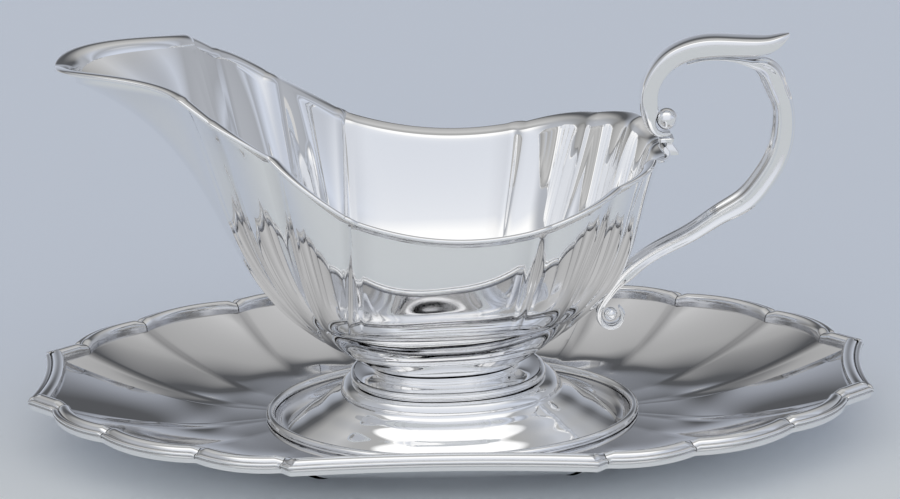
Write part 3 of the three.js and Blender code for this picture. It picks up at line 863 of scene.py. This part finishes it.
@dataclass(frozen=True)
class Guide:
    """A guide point of the wall's lines: how far out it stands, as shares of the way to the lip.

    Each share is given along x, y and z at the side, the spout and the rear. Ease is the power with
    which the spout's shares come in, and keel is the share along x under the spout itself.
    """

    side: Triple
    spout: Triple
    rear: Triple
    ease: Triple
    keel: float

    def shares(self, at: Stations) -> np.ndarray:
        """Work the shares out at each place.

        Args:
            at: The places round the bowl.

        Returns:
            One row of shares along x, y and z for each place.
        """
        columns = zip(self.side, self.spout, self.rear, self.ease)
        made = np.column_stack([s + (p - s) * at.spout**e + (r - s) * at.rear for s, p, r, e in columns])
        made[:, 0] += (self.keel - made[:, 0]) * at.keel
        return made


@dataclass
class GravyBoat:
    """The fluted bowl on its oval foot, with the scroll handle, turned a little in its well.

    The rim goes from notch to notch, and the bulges, lifts and steps are those of the flutes between
    them. A row of a spine is x, height, half thickness and, where it isn't 1, its share of the depth.
    """

    turn: float = 4.3
    seat_z: float = 2.119
    seat: float = 0.3
    foot: Pair = (51.5, 38.0)
    foot_height: float = 21.6
    foot_edge: float = 1.7
    foot_sheet: float = 1.2
    foot_wave: float = 0.13
    foot_waves: float = 5.0
    foot_ease: float = 1.05
    neck: Pair = (23.2, 18.6)
    neck_shift: float = -2.0
    neck_fullness: float = 2.3
    collar: Pair = (30.0, 24.8)
    collar_drop: float = 4.1
    collar_wire: float = 2.2
    shoulder: Pair = (0.2, 0.26)
    sheet: float = 1.4
    cup: Pair = (40.0, 28.8)
    cup_shift: float = -2.0
    cup_rises: Pair = (6.6, 17.0)
    cup_tuck: float = 0.08
    cup_fullness: float = 2.7
    cup_dip: float = 4.5
    crease: float = 0.6
    # How dark the painted shade is along the crease round the cup and down the creases at the rim's notches.
    crease_painted_shade: float = 0.4
    notch_painted_shade: float = 0.35
    lip: Pair = (3.3, 2.4)
    spout_lip: Pair = (6.0, 4.1)
    spout: Pair = (-117.0, 97.5)
    rear: Pair = (66.8, 66.2)
    ball_r: float = 3.4
    eye_r: float = 2.15
    joint_share: float = 0.355
    joint_set: float = 0.2
    scroll_depth: float = 3.7
    loop_depth: float = 3.9
    bar_least: Pair = (0.3, 0.2)
    fine: int = 6
    bowl_rows: tuple[int, int, int] = (16, 50, 12)
    foot_points: int = 264
    ball_size: tuple[int, int] = (26, 48)
    bracket_points: int = 64
    scroll_size: tuple[int, int] = (170, 72)
    loop_size: tuple[int, int] = (300, 104)
    notches: tuple[Notch, ...] = (
        Notch(-79.5, 36.4, 96.1, 4.0),
        Notch(-71.2, 41.2, 90.4, 7.0),
        Notch(-54.0, 46.4, 80.3, 26.0),
        Notch(-32.6, 57.4, 64.6, 48.0),
        Notch(-28.8, 57.8, 62.6, 57.0),
        Notch(22.8, 56.8, 57.2, 110.0),
        Notch(28.6, 54.8, 58.2, 114.5),
        Notch(50.4, 40.0, 64.6, 140.0),
        Notch(62.6, 23.0, 67.6, 161.0),
    )
    bulges: tuple[float, ...] = (0.35, 2.2, 2.6, 0.6, 1.3, 0.6, 3.0, 2.6, 3.0)
    lifts: tuple[float, ...] = (0.2, 0.8, 0.4, 0.2, -3.6, 0.2, 0.5, 0.4, -1.6)
    steps: tuple[int, ...] = (2, 5, 5, 2, 8, 2, 5, 5, 5)
    spout_guides: tuple[Triple, Triple] = ((0.0, -23.0, 2.8), (28.0, -20.0, 2.2))
    spout_steps: int = 7
    low_guide: Guide = Guide(
        (0.0, 0.61, 0.12), (0.72, 0.46, 0.27), (0.7, 0.65, 0.245), ease=(0.8, 1.8, 1.0), keel=0.93
    )
    high_guide: Guide = Guide(
        (0.7, 0.82, 0.558), (0.8, 0.36, 0.745), (0.63, 0.85, 0.556), ease=(1.0, 2.8, 1.0), keel=0.63
    )
    flute_swell: Pair = (0.35, 1.2)
    cup_guide: Pair = (0.6, 0.32)
    lip_roll: Triple = (0.16, 0.68, 0.6)
    ball_at: Pair = (1.4, 8.5)
    eye_at: Pair = (0.5, -10.9)
    scroll: Spine = (
        (2.4, 4.0, 0.4, 0.5), (0.4, 3.95, 0.7, 0.7), (-2.5, 5.1, 1.3, 0.85), (-3.9, 7.9, 1.85, 0.95),
        (-4.0, 12.2, 2.8), (-4.0, 16.3, 2.9), (-2.2, 22.0, 2.9), (1.6, 26.7, 3.0, 1.05),
        (7.4, 29.9, 3.1, 1.15), (14.2, 31.1, 3.3, 1.25), (21.7, 31.0, 3.1, 1.3), (28.2, 30.7, 2.9, 1.25),
        (33.5, 31.1, 2.4, 1.0), (37.4, 32.8, 1.3, 0.6), (39.2, 33.9, 0.35, 0.25),
    )
    scroll_half: tuple[Pair, ...] = (
        (1.0, 0.14), (0.97, 0.5), (0.82, 0.86), (0.5, 0.98), (0.0, 1.0), (-0.55, 0.97), (-0.86, 0.84),
        (-0.98, 0.5), (-1.0, 0.14),
    )
    loop_top: Spine = (
        (7.6, 25.9, 0.3, 0.5), (13.0, 27.0, 0.35, 0.55), (18.2, 27.0, 0.4, 0.6), (23.2, 26.4, 0.8, 0.8),
        (28.0, 25.1, 1.7), (30.6, 24.2, 2.8), (32.8, 22.5, 3.6), (35.0, 17.6, 3.6), (36.8, 12.8, 3.4),
        (37.4, 6.8, 3.6), (36.7, 0.3, 3.8), (34.5, -6.2, 3.9), (30.8, -12.2, 3.9), (25.5, -18.2, 3.8),
    )
    loop_low: Spine = (
        (35.0, 20.5, 3.3), (26.0, 14.9, 2.9), (16.5, 10.2, 2.7), (9.0, 5.5, 2.7), (4.9, 1.9, 2.7, 0.95),
        (2.2, -1.2, 1.9, 0.85), (-0.1, -4.4, 1.5, 0.75), (-2.2, -7.5, 1.3, 0.7), (-3.2, -10.8, 1.1, 0.65),
        (-1.9, -13.9, 1.0, 0.6), (0.7, -15.0, 0.95, 0.6), (3.3, -13.7, 0.9, 0.6), (4.2, -10.8, 0.8, 0.55),
        (3.2, -8.5, 0.4, 0.4),
    )
    loop_half: tuple[Pair, ...] = (
        (1.0, 0.1), (0.96, 0.3), (0.74, 0.5), (0.68, 0.8), (0.56, 0.97), (0.4, 0.93), (0.08, 0.8),
        (-0.3, 0.86), (-0.5, 0.98), (-0.62, 0.86), (-0.74, 0.5), (-0.94, 0.3), (-1.0, 0.1),
    )

    def place(self, points: np.ndarray) -> np.ndarray:
        """Turn points of the boat about Z and set them at their height on the plate.

        Args:
            points: An array whose last axis is x, y and z, with the boat's own base at 0.

        Returns:
            The points in their place.
        """
        c, s = math.cos(math.radians(self.turn)), math.sin(math.radians(self.turn))
        return points @ np.array([[c, s, 0.0], [-s, c, 0.0], [0.0, 0.0, 1.0]]) + (0.0, 0.0, self.seat_z)

    @property
    def upper(self) -> float:
        """Height of the bowl's underside above the boat's own base."""
        return self.foot_height + self.seat

    # ---- bowl

    def stations(self) -> Stations:
        """Go round the rim, from the spout along the near side and back along the far one.

        Returns:
            What the bowl is drawn from at each place round it.
        """
        first = self.notches[0]
        t = np.linspace(0.0, 1.0, self.spout_steps * self.fine, endpoint=False)[:, None]
        tip, last = np.array([self.spout[0], 0.0, self.spout[1]]), np.array([first.x, -first.y, first.rise])
        spout = bezier([tip, *(tip + guide for guide in self.spout_guides), last], t)
        rows = [np.column_stack([spout, first.cup * t, 0.0 * t, 1.0 - t])]
        ends = [*self.notches, Notch(self.rear[0], 0.0, self.rear[1], 180.0)]
        for a, b, bulge, lift, steps in zip(ends[:-1], ends[1:], self.bulges, self.lifts, self.steps):
            w = np.linspace(0.0, 1.0, steps * self.fine + 1)[:-1]
            arch = 4.0 * w * (1.0 - w)
            plan = arc(np.array([a.x, -a.y]), np.array([b.x, -b.y]), bulge, steps * self.fine)[:-1]
            rise = a.rise + (b.rise - a.rise) * w + lift * arch
            rows.append(np.column_stack([plan, rise, a.cup + (b.cup - a.cup) * w, bulge * arch, 0.0 * w]))
        near = np.vstack(rows)
        back = (self.rear[0], 0.0, self.rear[1], 180.0, 0.0, 0.0)
        far = near[:0:-1] * (1.0, -1.0, 1.0, -1.0, 1.0, 1.0) + (0.0, 0.0, 0.0, 360.0, 0.0, 0.0)
        places = np.vstack([near, back, far])
        rim, (cup, flute, keel) = places[:, :3], places[:, 3:].T
        along = np.roll(rim, -1, 0) - np.roll(rim, 1, 0)
        out = unit(np.column_stack([along[:, 1], -along[:, 0], np.zeros(len(rim))]))
        angle = np.radians(180.0 + cup)
        dip = (1.0 - np.abs(np.sin(angle))) ** self.cup_dip
        plan = oval(self.cup[0], self.cup[1], angle, self.cup_fullness)
        rise = self.cup_rises[1] - (self.cup_rises[1] - self.cup_rises[0]) * dip
        edge = np.column_stack([self.cup_shift + plan[:, 0] * (1.0 - self.cup_tuck * dip), plan[:, 1], rise])
        return Stations(rim, out, angle, edge, np.minimum(cup, 360.0 - cup), flute, keel)

    def lip_size(self, at: Stations) -> tuple[np.ndarray, np.ndarray]:
        """How far the lip turns out and how far it rises, more towards the spout's keel."""
        return tuple(plain + (most - plain) * at.keel**2 for plain, most in zip(self.lip, self.spout_lip))

    def wall(self, at: Stations, t: np.ndarray) -> np.ndarray:
        """Lines of the fluted wall: a cubic from the cup's edge to the foot of the lip.

        Its two guide points stand out by shares of the way to the lip, along x, y and z, so the sides
        belly and the spout sweeps. Under the spout they stand no further out along x than beside its
        notch, and the keel is hollow. Each flute is already a little raised at the cup.

        Args:
            at: The places round the bowl.
            t: Places up the wall, 0 to 1.

        Returns:
            One ring of points for each t.
        """
        lip_out, lip_up = self.lip_size(at)
        top = at.rim - at.out * lip_out[:, None]
        top[:, 2] -= lip_up
        way = top - at.edge
        way[:, 0] = np.maximum(way[:, 0], self.notches[0].x + self.cup[0])
        low, high = (at.edge + way * guide.shares(at) for guide in (self.low_guide, self.high_guide))
        up = t[:, None, None]
        swell, growth = self.flute_swell
        rise = at.flute[:, None] * (1.0 - up) * (swell + growth * up) + self.crease * (1.0 - up)
        return bezier([at.edge, low, high, top], up) + at.out * rise

    def bowl_grid(self) -> tuple[np.ndarray, int, np.ndarray]:
        """Outer face of the bowl, from the neck up the cup and the fluted wall and over the lip.

        Returns:
            The grid of points, the index of the first ring of the wall, and how much painted shade each point
            gets.
        """
        at = self.stations()
        cup_rows, wall_rows, lip_rows = (np.linspace(0.0, 1.0, count) for count in self.bowl_rows)
        neck = oval(self.neck[0], self.neck[1], at.angle, self.neck_fullness) + (self.neck_shift, 0.0)
        neck = level_ring(neck, 0.0)
        end = at.edge - (0.0, 0.0, self.crease / 2.0)
        guide = neck + (end - neck) * self.cup_guide[0]
        guide[:, 2] = end[:, 2] * self.cup_guide[1]
        cup = bezier([neck, guide, end], cup_rows[:, None, None])
        wall = self.wall(at, wall_rows)
        lip_out, lip_up = self.lip_size(at)
        turn_out, turn_up, spout_up = self.lip_roll
        roll = wall[-1] + at.out * (turn_out * lip_out)[:, None]
        roll[:, 2] += lip_up * (turn_up + (1.0 - turn_up) * at.spout) + spout_up * at.spout**4
        lip = bezier([wall[-1], roll, at.rim], lip_rows[1:, None, None])
        # Painted shade: dark down the creases where the flutes meet at the rim's notches, the whole height of
        # the bowl, but not on the spout.
        notch = np.clip(1.0 - at.flute / 0.5, 0.0, 1.0) * (at.fold > 5.0) * self.notch_painted_shade
        grid = np.concatenate([cup, wall, lip])
        return grid, len(cup), np.broadcast_to(notch, grid.shape[:2])

    def bowl(self) -> Piece:
        """The bowl as one sheet with a rounded edge, open at the top.

        Returns:
            The bowl, with painted shade down the creases at its notches and along the crease round the cup.
        """
        outer, crease, notch = self.bowl_grid()
        inner = offset(outer, -self.sheet)
        edge = rounded_edge(outer[-1], inner[-1], outer[-2], 5)
        rings = np.concatenate([outer, edge, inner[::-1]])
        solid = ring_solid(self.place(rings + (0.0, 0.0, self.upper)))
        # Painted shade: a dark line along the crease round the cup, on the outer and inner faces alike.
        fold = self.crease_painted_shade * np.exp(-((np.arange(len(outer)) - crease + 0.5) ** 2) / 2.0)[:, None]
        shade = np.maximum(notch, fold)
        values = np.concatenate([shade, np.zeros(edge.shape[:2]), shade[::-1]])
        return Piece("bowl_silver", solid, ["bowl"], Body.BOAT, BOWL_FINISH, 60.0, hub_values(values, solid))

    # ---- foot

    def foot_levels(self) -> tuple[float, float, float, float]:
        """Where the collar's wire lies.

        Returns:
            Its top, its bottom, and the half length and half width of its seat.
        """
        half = self.collar_wire / 2.0
        top = self.foot_height - self.collar_drop + half
        return top, top - self.collar_wire, self.collar[0] - half, self.collar[1] - half

    def foot_rings(self, profile: np.ndarray) -> np.ndarray:
        """Rings of the foot: plain ovals at its edge, fuller and a little further back towards the neck.

        Args:
            profile: Half length, half width and height of each ring.

        Returns:
            The rings, in their place on the plate.
        """
        angle = turns(self.foot_points)
        up = np.clip((profile[:, 2] - self.foot_edge) / (self.foot_height - self.foot_edge), 0.0, 1.0)
        full, lean = 2.0 + (self.neck_fullness - 2.0) * up, self.neck_shift * up**3
        return self.place(np.array([
            level_ring(oval(a, b, angle, f) + (x, 0.0), z) for (a, b, z), f, x in zip(profile, full, lean)
        ]))

    def foot_slope(self, share: np.ndarray) -> np.ndarray:
        """Outside of the lower foot: a quarter oval for its shoulder, then a slope that eases out.

        Past the shoulder the height falls as (1 - share) to the power of its ease, with the faint waves of
        the hammer: wave times sin(waves pi share) times (1 - share).

        Args:
            share: Shares of the way from the collar to the edge.

        Returns:
            Half length, half width and height at each share.
        """
        _, bottom, _, _ = self.foot_levels()
        high, low = bottom - self.seat, self.foot_edge
        at, drop = self.shoulder
        knee = high - (high - low) * drop
        bend = knee + (high - knee) * np.sqrt(np.clip(1.0 - (share / at) ** 2, 0.0, 1.0))
        past = (np.maximum(share, at) - at) / (1.0 - at)
        ease = low + (knee - low) * (1.0 - past) ** self.foot_ease
        ease -= self.foot_wave * np.sin(past * math.pi * self.foot_waves) * (1.0 - past)
        a = self.collar[0] + (self.foot[0] - self.collar[0]) * share
        b = self.collar[1] + (self.foot[1] - self.collar[1]) * share
        return np.column_stack([a, b, np.where(share <= at, bend, ease)])

    def foot_piece(self) -> Piece:
        """The hollow foot: a waisted neck, the collar's seat, a shoulder and a spreading slope.

        Returns:
            The foot as one sheet, wrapped round from its outside to its inside.
        """
        top, bottom, seat_a, seat_b = self.foot_levels()
        high = bottom - self.seat
        a, b = self.neck
        neck = spline(
            np.array([
                [a, self.foot_height, b],
                [a - 0.5, self.foot_height - 1.2, b - 0.5],
                [a + 1.2, self.foot_height - 2.6, b + 1.0],
                [seat_a, top + 0.1, seat_b],
            ]), 18)[:, [0, 2, 1]]
        shoulder = self.shoulder[0] * np.sin(np.linspace(0.0, math.pi / 2.0, 10))
        low = self.foot_slope(np.concatenate([shoulder, np.linspace(self.shoulder[0], 1.0, 26)[1:]]))
        turned_in = [[0.0, 0.0, 0.0], [0.0, 0.0, 0.5], [0.1, 0.1, 1.3], [0.4, 0.4, self.foot_edge]]
        edge = low[-1] - np.array(turned_in)
        outside = np.vstack([neck, [[seat_a, seat_b, high]], low[:-1], edge])
        inside = outside[::-1] - (self.foot_sheet, self.foot_sheet, 0.0)
        inside[1:-1, 2] -= 0.5
        inside[:5, 2] = np.maximum(inside[:5, 2], 0.0)
        solid = ring_solid(self.foot_rings(np.vstack([outside, inside])), True)
        return Piece("foot_silver", solid, ["foot"], Body.BOAT, BOWL_FINISH, 45.0)

    def collar_piece(self) -> Piece:
        """The half-round wire round the foot.

        Returns:
            The wire.
        """
        _, bottom, seat_a, seat_b = self.foot_levels()
        half = self.collar_wire / 2.0
        bow = np.linspace(-math.pi / 2.0, math.pi / 2.0, 15)
        out = np.concatenate([[0.0], np.cos(bow) * (half + 0.2), [0.0]]) + self.seat
        up = np.concatenate([[-1.0], np.sin(bow), [1.0]]) * half + bottom + half
        solid = ring_solid(self.foot_rings(np.column_stack([seat_a + out, seat_b + out, up])), True)
        return Piece("foot_collar_silver", solid, ["foot_collar"], Body.BOAT, HANDLE_FINISH)

    # ---- handle

    def bar(self, spine: Spine, half: tuple[Pair, ...], depth: float, size: tuple[int, int]) -> Solid:
        """Sweep a section along a curve in the handle's own plane.

        Args:
            spine: The curve and its thickness, one row for each point.
            half: Half of the section, as n along the plane and y across it.
            depth: Half depth where the share is one.
            size: How many rings to make, and of how many points.

        Returns:
            The closed bar, in its place on the boat.
        """
        count, around = size
        section = spline(np.array([*half, *((n, -y) for n, y in half[::-1])]), around, closed=True)
        path = spline(np.array([(*p, 1.0)[:4] for p in spine]), count)
        along = unit(np.gradient(path[:, :2], axis=0))
        thick, share = np.maximum(path[:, 2:], self.bar_least).T
        zero = np.zeros(count)
        outs = np.column_stack([-along[:, 1] * thick, zero, along[:, 0] * thick])
        sides = np.column_stack([zero, share * depth, zero])
        centres = np.column_stack([path[:, 0], zero, path[:, 1] + self.upper])
        solid = swept(centres, outs, sides, section)
        solid.points = self.place(solid.points)
        return solid

    def sphere(self, radius: float, x: float, z: float) -> Solid:
        """A ball on the handle's plane, its rings r sin v round and r cos v up.

        Args:
            radius: Its radius.
            x: How far back its middle is.
            z: Height of its middle above the bowl's underside.

        Returns:
            The ball, in its place on the boat.
        """
        count, around = self.ball_size
        v, u = np.linspace(0.02, math.pi - 0.02, count)[:, None], turns(around)[None, :]
        rings = np.stack(np.broadcast_arrays(np.sin(v) * np.cos(u), np.sin(v) * np.sin(u), np.cos(v)), -1)
        return ring_solid(self.place(rings * radius + (x, 0.0, z + self.upper)))

    def bracket(self) -> Solid:
        """The stepped bracket: a cap over the back of the lip and a flaring block behind it.

        Each level is a rounded oblong: an oval of fullness 7 between its two ends.

        Returns:
            The bracket, in its place on the boat.
        """
        lip_top = self.sheet + self.seat - 0.1
        levels = [
            (1.0, 4.9, 3.0, -2.4), (1.0, 4.9, 3.0, -1.6), (1.0, 4.1, 2.8, -0.4),
            (1.0, 3.3, 2.5, lip_top - 1.0), (1.0, 3.0, 2.4, lip_top - 0.4), (1.0, 3.0, 2.4, lip_top),
            (-1.3, 3.4, 2.8, lip_top), (-1.4, 3.5, 3.0, lip_top + 0.2), (-1.4, 3.5, 3.0, lip_top + 1.1),
            (-1.2, 3.3, 2.8, lip_top + 1.3),
        ]
        rings = []
        for front, back, half, z in levels:
            plan = oval((back - front) / 2.0, half, turns(self.bracket_points), 7.0)
            middle = (self.rear[0] + (front + back) / 2.0, 0.0)
            rings.append(level_ring(plan + middle, self.rear[1] + z + self.upper))
        return ring_solid(self.place(np.array(rings)))

    def handle(self) -> list[Piece]:
        """The upper scroll, the loop with its volute, the ball, the eye and the stepped bracket.

        The loop's lower end is measured from where it meets the wall, and the rest from the rim's back.

        Returns:
            The five pieces.
        """
        at = self.stations()
        wall = self.wall(at, np.array([self.joint_share]))[0][np.argmax(at.fold)]
        joint = (wall[0] - self.joint_set, wall[2])

        def moved(spine: Spine, start: Pair) -> Spine:
            """The points of a spine, measured from a start."""
            return tuple((x + start[0], z + start[1], *rest) for x, z, *rest in spine)

        scroll = moved(self.scroll, self.rear)
        loop = moved(self.loop_top, self.rear) + moved(self.loop_low, joint)
        (ball,), (eye,) = moved((self.ball_at,), self.rear), moved((self.eye_at,), joint)
        scroll_bar = self.bar(scroll, self.scroll_half, self.scroll_depth, self.scroll_size)
        loop_bar = self.bar(loop, self.loop_half, self.loop_depth, self.loop_size)
        parts = (
            ("upper_scroll_silver", scroll_bar, ["handle_upper_scroll"], 50.0),
            ("loop_silver", loop_bar, ["handle_loop"], 50.0),
            ("ball_silver", self.sphere(self.ball_r, *ball), ["handle_ball"], 50.0),
            ("volute_eye_silver", self.sphere(self.eye_r, *eye), ["handle_eye"], 50.0),
            ("bracket_silver", self.bracket(), ["handle_bracket"], 30.0),
        )
        return [Piece(*part, Body.BOAT, HANDLE_FINISH, sharp) for *part, sharp in parts]

    def pieces(self) -> list[Piece]:
        """Every piece of the boat."""
        return [self.bowl(), self.foot_piece(), self.collar_piece(), *self.handle()]


# ---------------------------------------------------------------- studio


# By which shares the coolest light has less red and more blue.
TINT = (0.07, 0.15)


@dataclass(frozen=True)
class Glow:
    """The room's light at one height: degrees up from the front horizon, over the top to the back.

    Its brightness is plain: 1 is white. Cool runs from 0, a neutral white, to 1, a pale blue one.
    """

    degrees: float
    light: float
    cool: float = 0.0

    def colour(self, strength: float) -> Paint:
        """The light as a colour.

        Args:
            strength: How strong the room is, by which the light is divided.

        Returns:
            Red, green, blue and an alpha of 1.
        """
        level = self.light / strength
        less, more = TINT
        return (level * (1.0 - less * self.cool), level, level * (1.0 + more * self.cool), 1.0)


@dataclass
class Studio:
    """The camera, the pale table and the soft light.

    The camera is turned by its angles about the origin, and moved by its aim and its distance.
    """

    azimuth: float = 2.05
    elevation: float = 18.2
    roll: float = -1.58
    distance: float = 1.25
    lens: float = 159.52
    sensor: float = 36.0
    clip: Pair = (0.05, 50.0)
    aim: Pair = (-0.87, 56.35)
    strength: float = 1.5
    ahead: tuple[Glow, ...] = (
        Glow(-180.0, 0.58, 1.0), Glow(-60.0, 0.72), Glow(-8.0, 0.56, 0.2), Glow(8.0, 0.75, 0.6),
        Glow(45.0, 0.85, 0.4), Glow(58.0, 1.05), Glow(76.5, 1.15), Glow(80.0, 0.42), Glow(90.0, 0.42),
        Glow(105.0, 0.6), Glow(134.0, 0.4), Glow(149.0, 0.1, 0.5), Glow(155.0, 0.1, 0.5),
        Glow(163.0, 0.32, 0.8), Glow(180.0, 0.58, 1.0),
    )
    left: tuple[Glow, ...] = (
        Glow(-20.0, 0.65), Glow(10.0, 0.5, 0.7), Glow(90.0, 0.45, 0.5), Glow(150.0, 0.25), Glow(180.0, 0.5),
    )
    right: tuple[Glow, ...] = (
        Glow(-20.0, 0.65), Glow(10.0, 0.56, 0.7), Glow(40.0, 0.7, 1.0), Glow(62.0, 0.5, 0.9),
        Glow(80.0, 0.4, 0.7), Glow(98.0, 0.6, 0.9), Glow(125.0, 0.4, 0.6), Glow(180.0, 0.45, 0.6),
    )
    left_fade: Pair = (-0.5, -0.8)
    right_fade: Pair = (0.35, 0.8)
    table_span: Triple = (3.0, -2.0, 2.0)
    table_z: float = -0.0002
    # The table's painted light: where it fades, and its colours in front and at the back.
    table_light_fade: Pair = (-0.12, 0.12)
    table_lit_front: Paint = (0.97, 1.0, 1.0, 1.0)
    table_dim_back: Paint = (0.84, 0.9, 1.0, 1.0)

    def camera(self) -> None:
        """Set the camera where the photograph was taken from."""
        angles = ((self.azimuth, "Z"), (90.0 - self.elevation, "X"), (self.roll, "Z"))
        around, down, tilt = (Matrix.Rotation(math.radians(angle), 4, axis) for angle, axis in angles)
        back = Matrix.Translation((self.aim[0] * MM, self.aim[1] * MM, self.distance))
        data = bpy.data.cameras.new("camera")
        data.lens, data.sensor_width = self.lens, self.sensor
        data.clip_start, data.clip_end = self.clip
        made = bpy.data.objects.new("camera", data)
        made.matrix_world = around @ down @ tilt @ back
        bpy.context.scene.collection.objects.link(made)
        bpy.context.scene.camera = made

    def table(self) -> None:
        """The pale table top under the plate, with painted light: lighter and more neutral at the front, and
        darker and bluer towards the back, as the light falls off.
        """
        mesh = bpy.data.meshes.new("table_top")
        wide, near, far = self.table_span
        edge = [(-wide, near), (wide, near), (wide, far), (-wide, far)]
        mesh.from_pydata([(x, y, self.table_z) for x, y in edge], [], [(0, 1, 2, 3)])
        made = bpy.data.objects.new("table_top", mesh)
        paint = bpy.data.materials.new("pale_table")
        paint.use_nodes = True
        n = Nodes(paint.node_tree)
        split = n.add("ShaderNodeSeparateXYZ", Vector=n.add("ShaderNodeTexCoord").outputs["Object"])
        # Painted light: the table's colour goes from light and neutral in front to darker and bluer at the
        # back.
        depth = n.ease(split.outputs["Y"], self.table_light_fade)
        n.feed(
            paint.node_tree.nodes["Principled BSDF"],
            Base_Color=n.blend(depth, self.table_lit_front, self.table_dim_back),
            Roughness=0.6,
            Specular_IOR_Level=0.2,
        )
        mesh.materials.append(paint)
        bpy.context.scene.collection.objects.link(made)

    def ramp(self, n: Nodes, height: Socket, glows: tuple[Glow, ...]) -> Socket:
        """Light by height, one stop for each glow.

        Args:
            n: Where the node goes.
            height: The height of a direction, 0 to 1.
            glows: The lights from the front horizon over the top to the back one.

        Returns:
            The colour of the light.
        """
        made = n.add("ShaderNodeValToRGB", Fac=height)
        stops = made.color_ramp.elements
        stops.remove(stops[1])
        for k, glow in enumerate(glows):
            at = (glow.degrees + 180.0) / 360.0
            stop = stops.new(at) if k else stops[0]
            stop.position, stop.color = at, glow.colour(self.strength)
        return made.outputs["Color"]

    def surroundings(self) -> None:
        """The room of soft light, painted by direction.

        A direction's height is the angle from the front horizon over the top to the back one. Straight
        ahead are a pale wall, a wide soft light above it, a greyer ceiling with a dark gap towards the
        back, and the pale backdrop. They fade to a plain wall on the left, and on the right to a wall
        with two soft panels.
        """
        world = bpy.data.worlds.new("room")
        world.use_nodes = True
        bpy.context.scene.world = world
        n = Nodes(world.node_tree)
        way = n.add("ShaderNodeSeparateXYZ", Vector=n.add("ShaderNodeTexCoord").outputs["Generated"]).outputs
        turned = n.math("ARCTAN2", way["Z"], n.math("MULTIPLY", way["Y"], -1.0))
        share = n.add("ShaderNodeMapRange", Value=turned, From_Min=-math.pi, From_Max=math.pi)
        height = share.outputs["Result"]
        colour = self.ramp(n, height, self.ahead)
        for glows, span in ((self.left, self.left_fade), (self.right, self.right_fade)):
            colour = n.blend(n.ease(way["X"], span), colour, self.ramp(n, height, glows))
        n.feed(world.node_tree.nodes["Background"], Color=colour, Strength=self.strength)

    def set_up(self) -> None:
        """Make the camera, the table and the light."""
        self.camera()
        self.table()
        self.surroundings()
        bpy.context.scene.view_settings.view_transform = "Standard"
        bpy.context.scene.view_settings.look = "None"


def corners(box: tuple[Vector, Vector]) -> list[list[float]]:
    """A box as plain lists of numbers."""
    return [[float(v) for v in corner] for corner in box]


def main() -> None:
    """Set up the studio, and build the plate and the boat."""
    logging.basicConfig(level=logging.INFO, format="%(message)s")
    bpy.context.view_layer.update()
    Studio().set_up()
    for piece in [*Underplate().pieces(), *GravyBoat().pieces()]:
        piece.make()


if __name__ == "__main__":
    main()
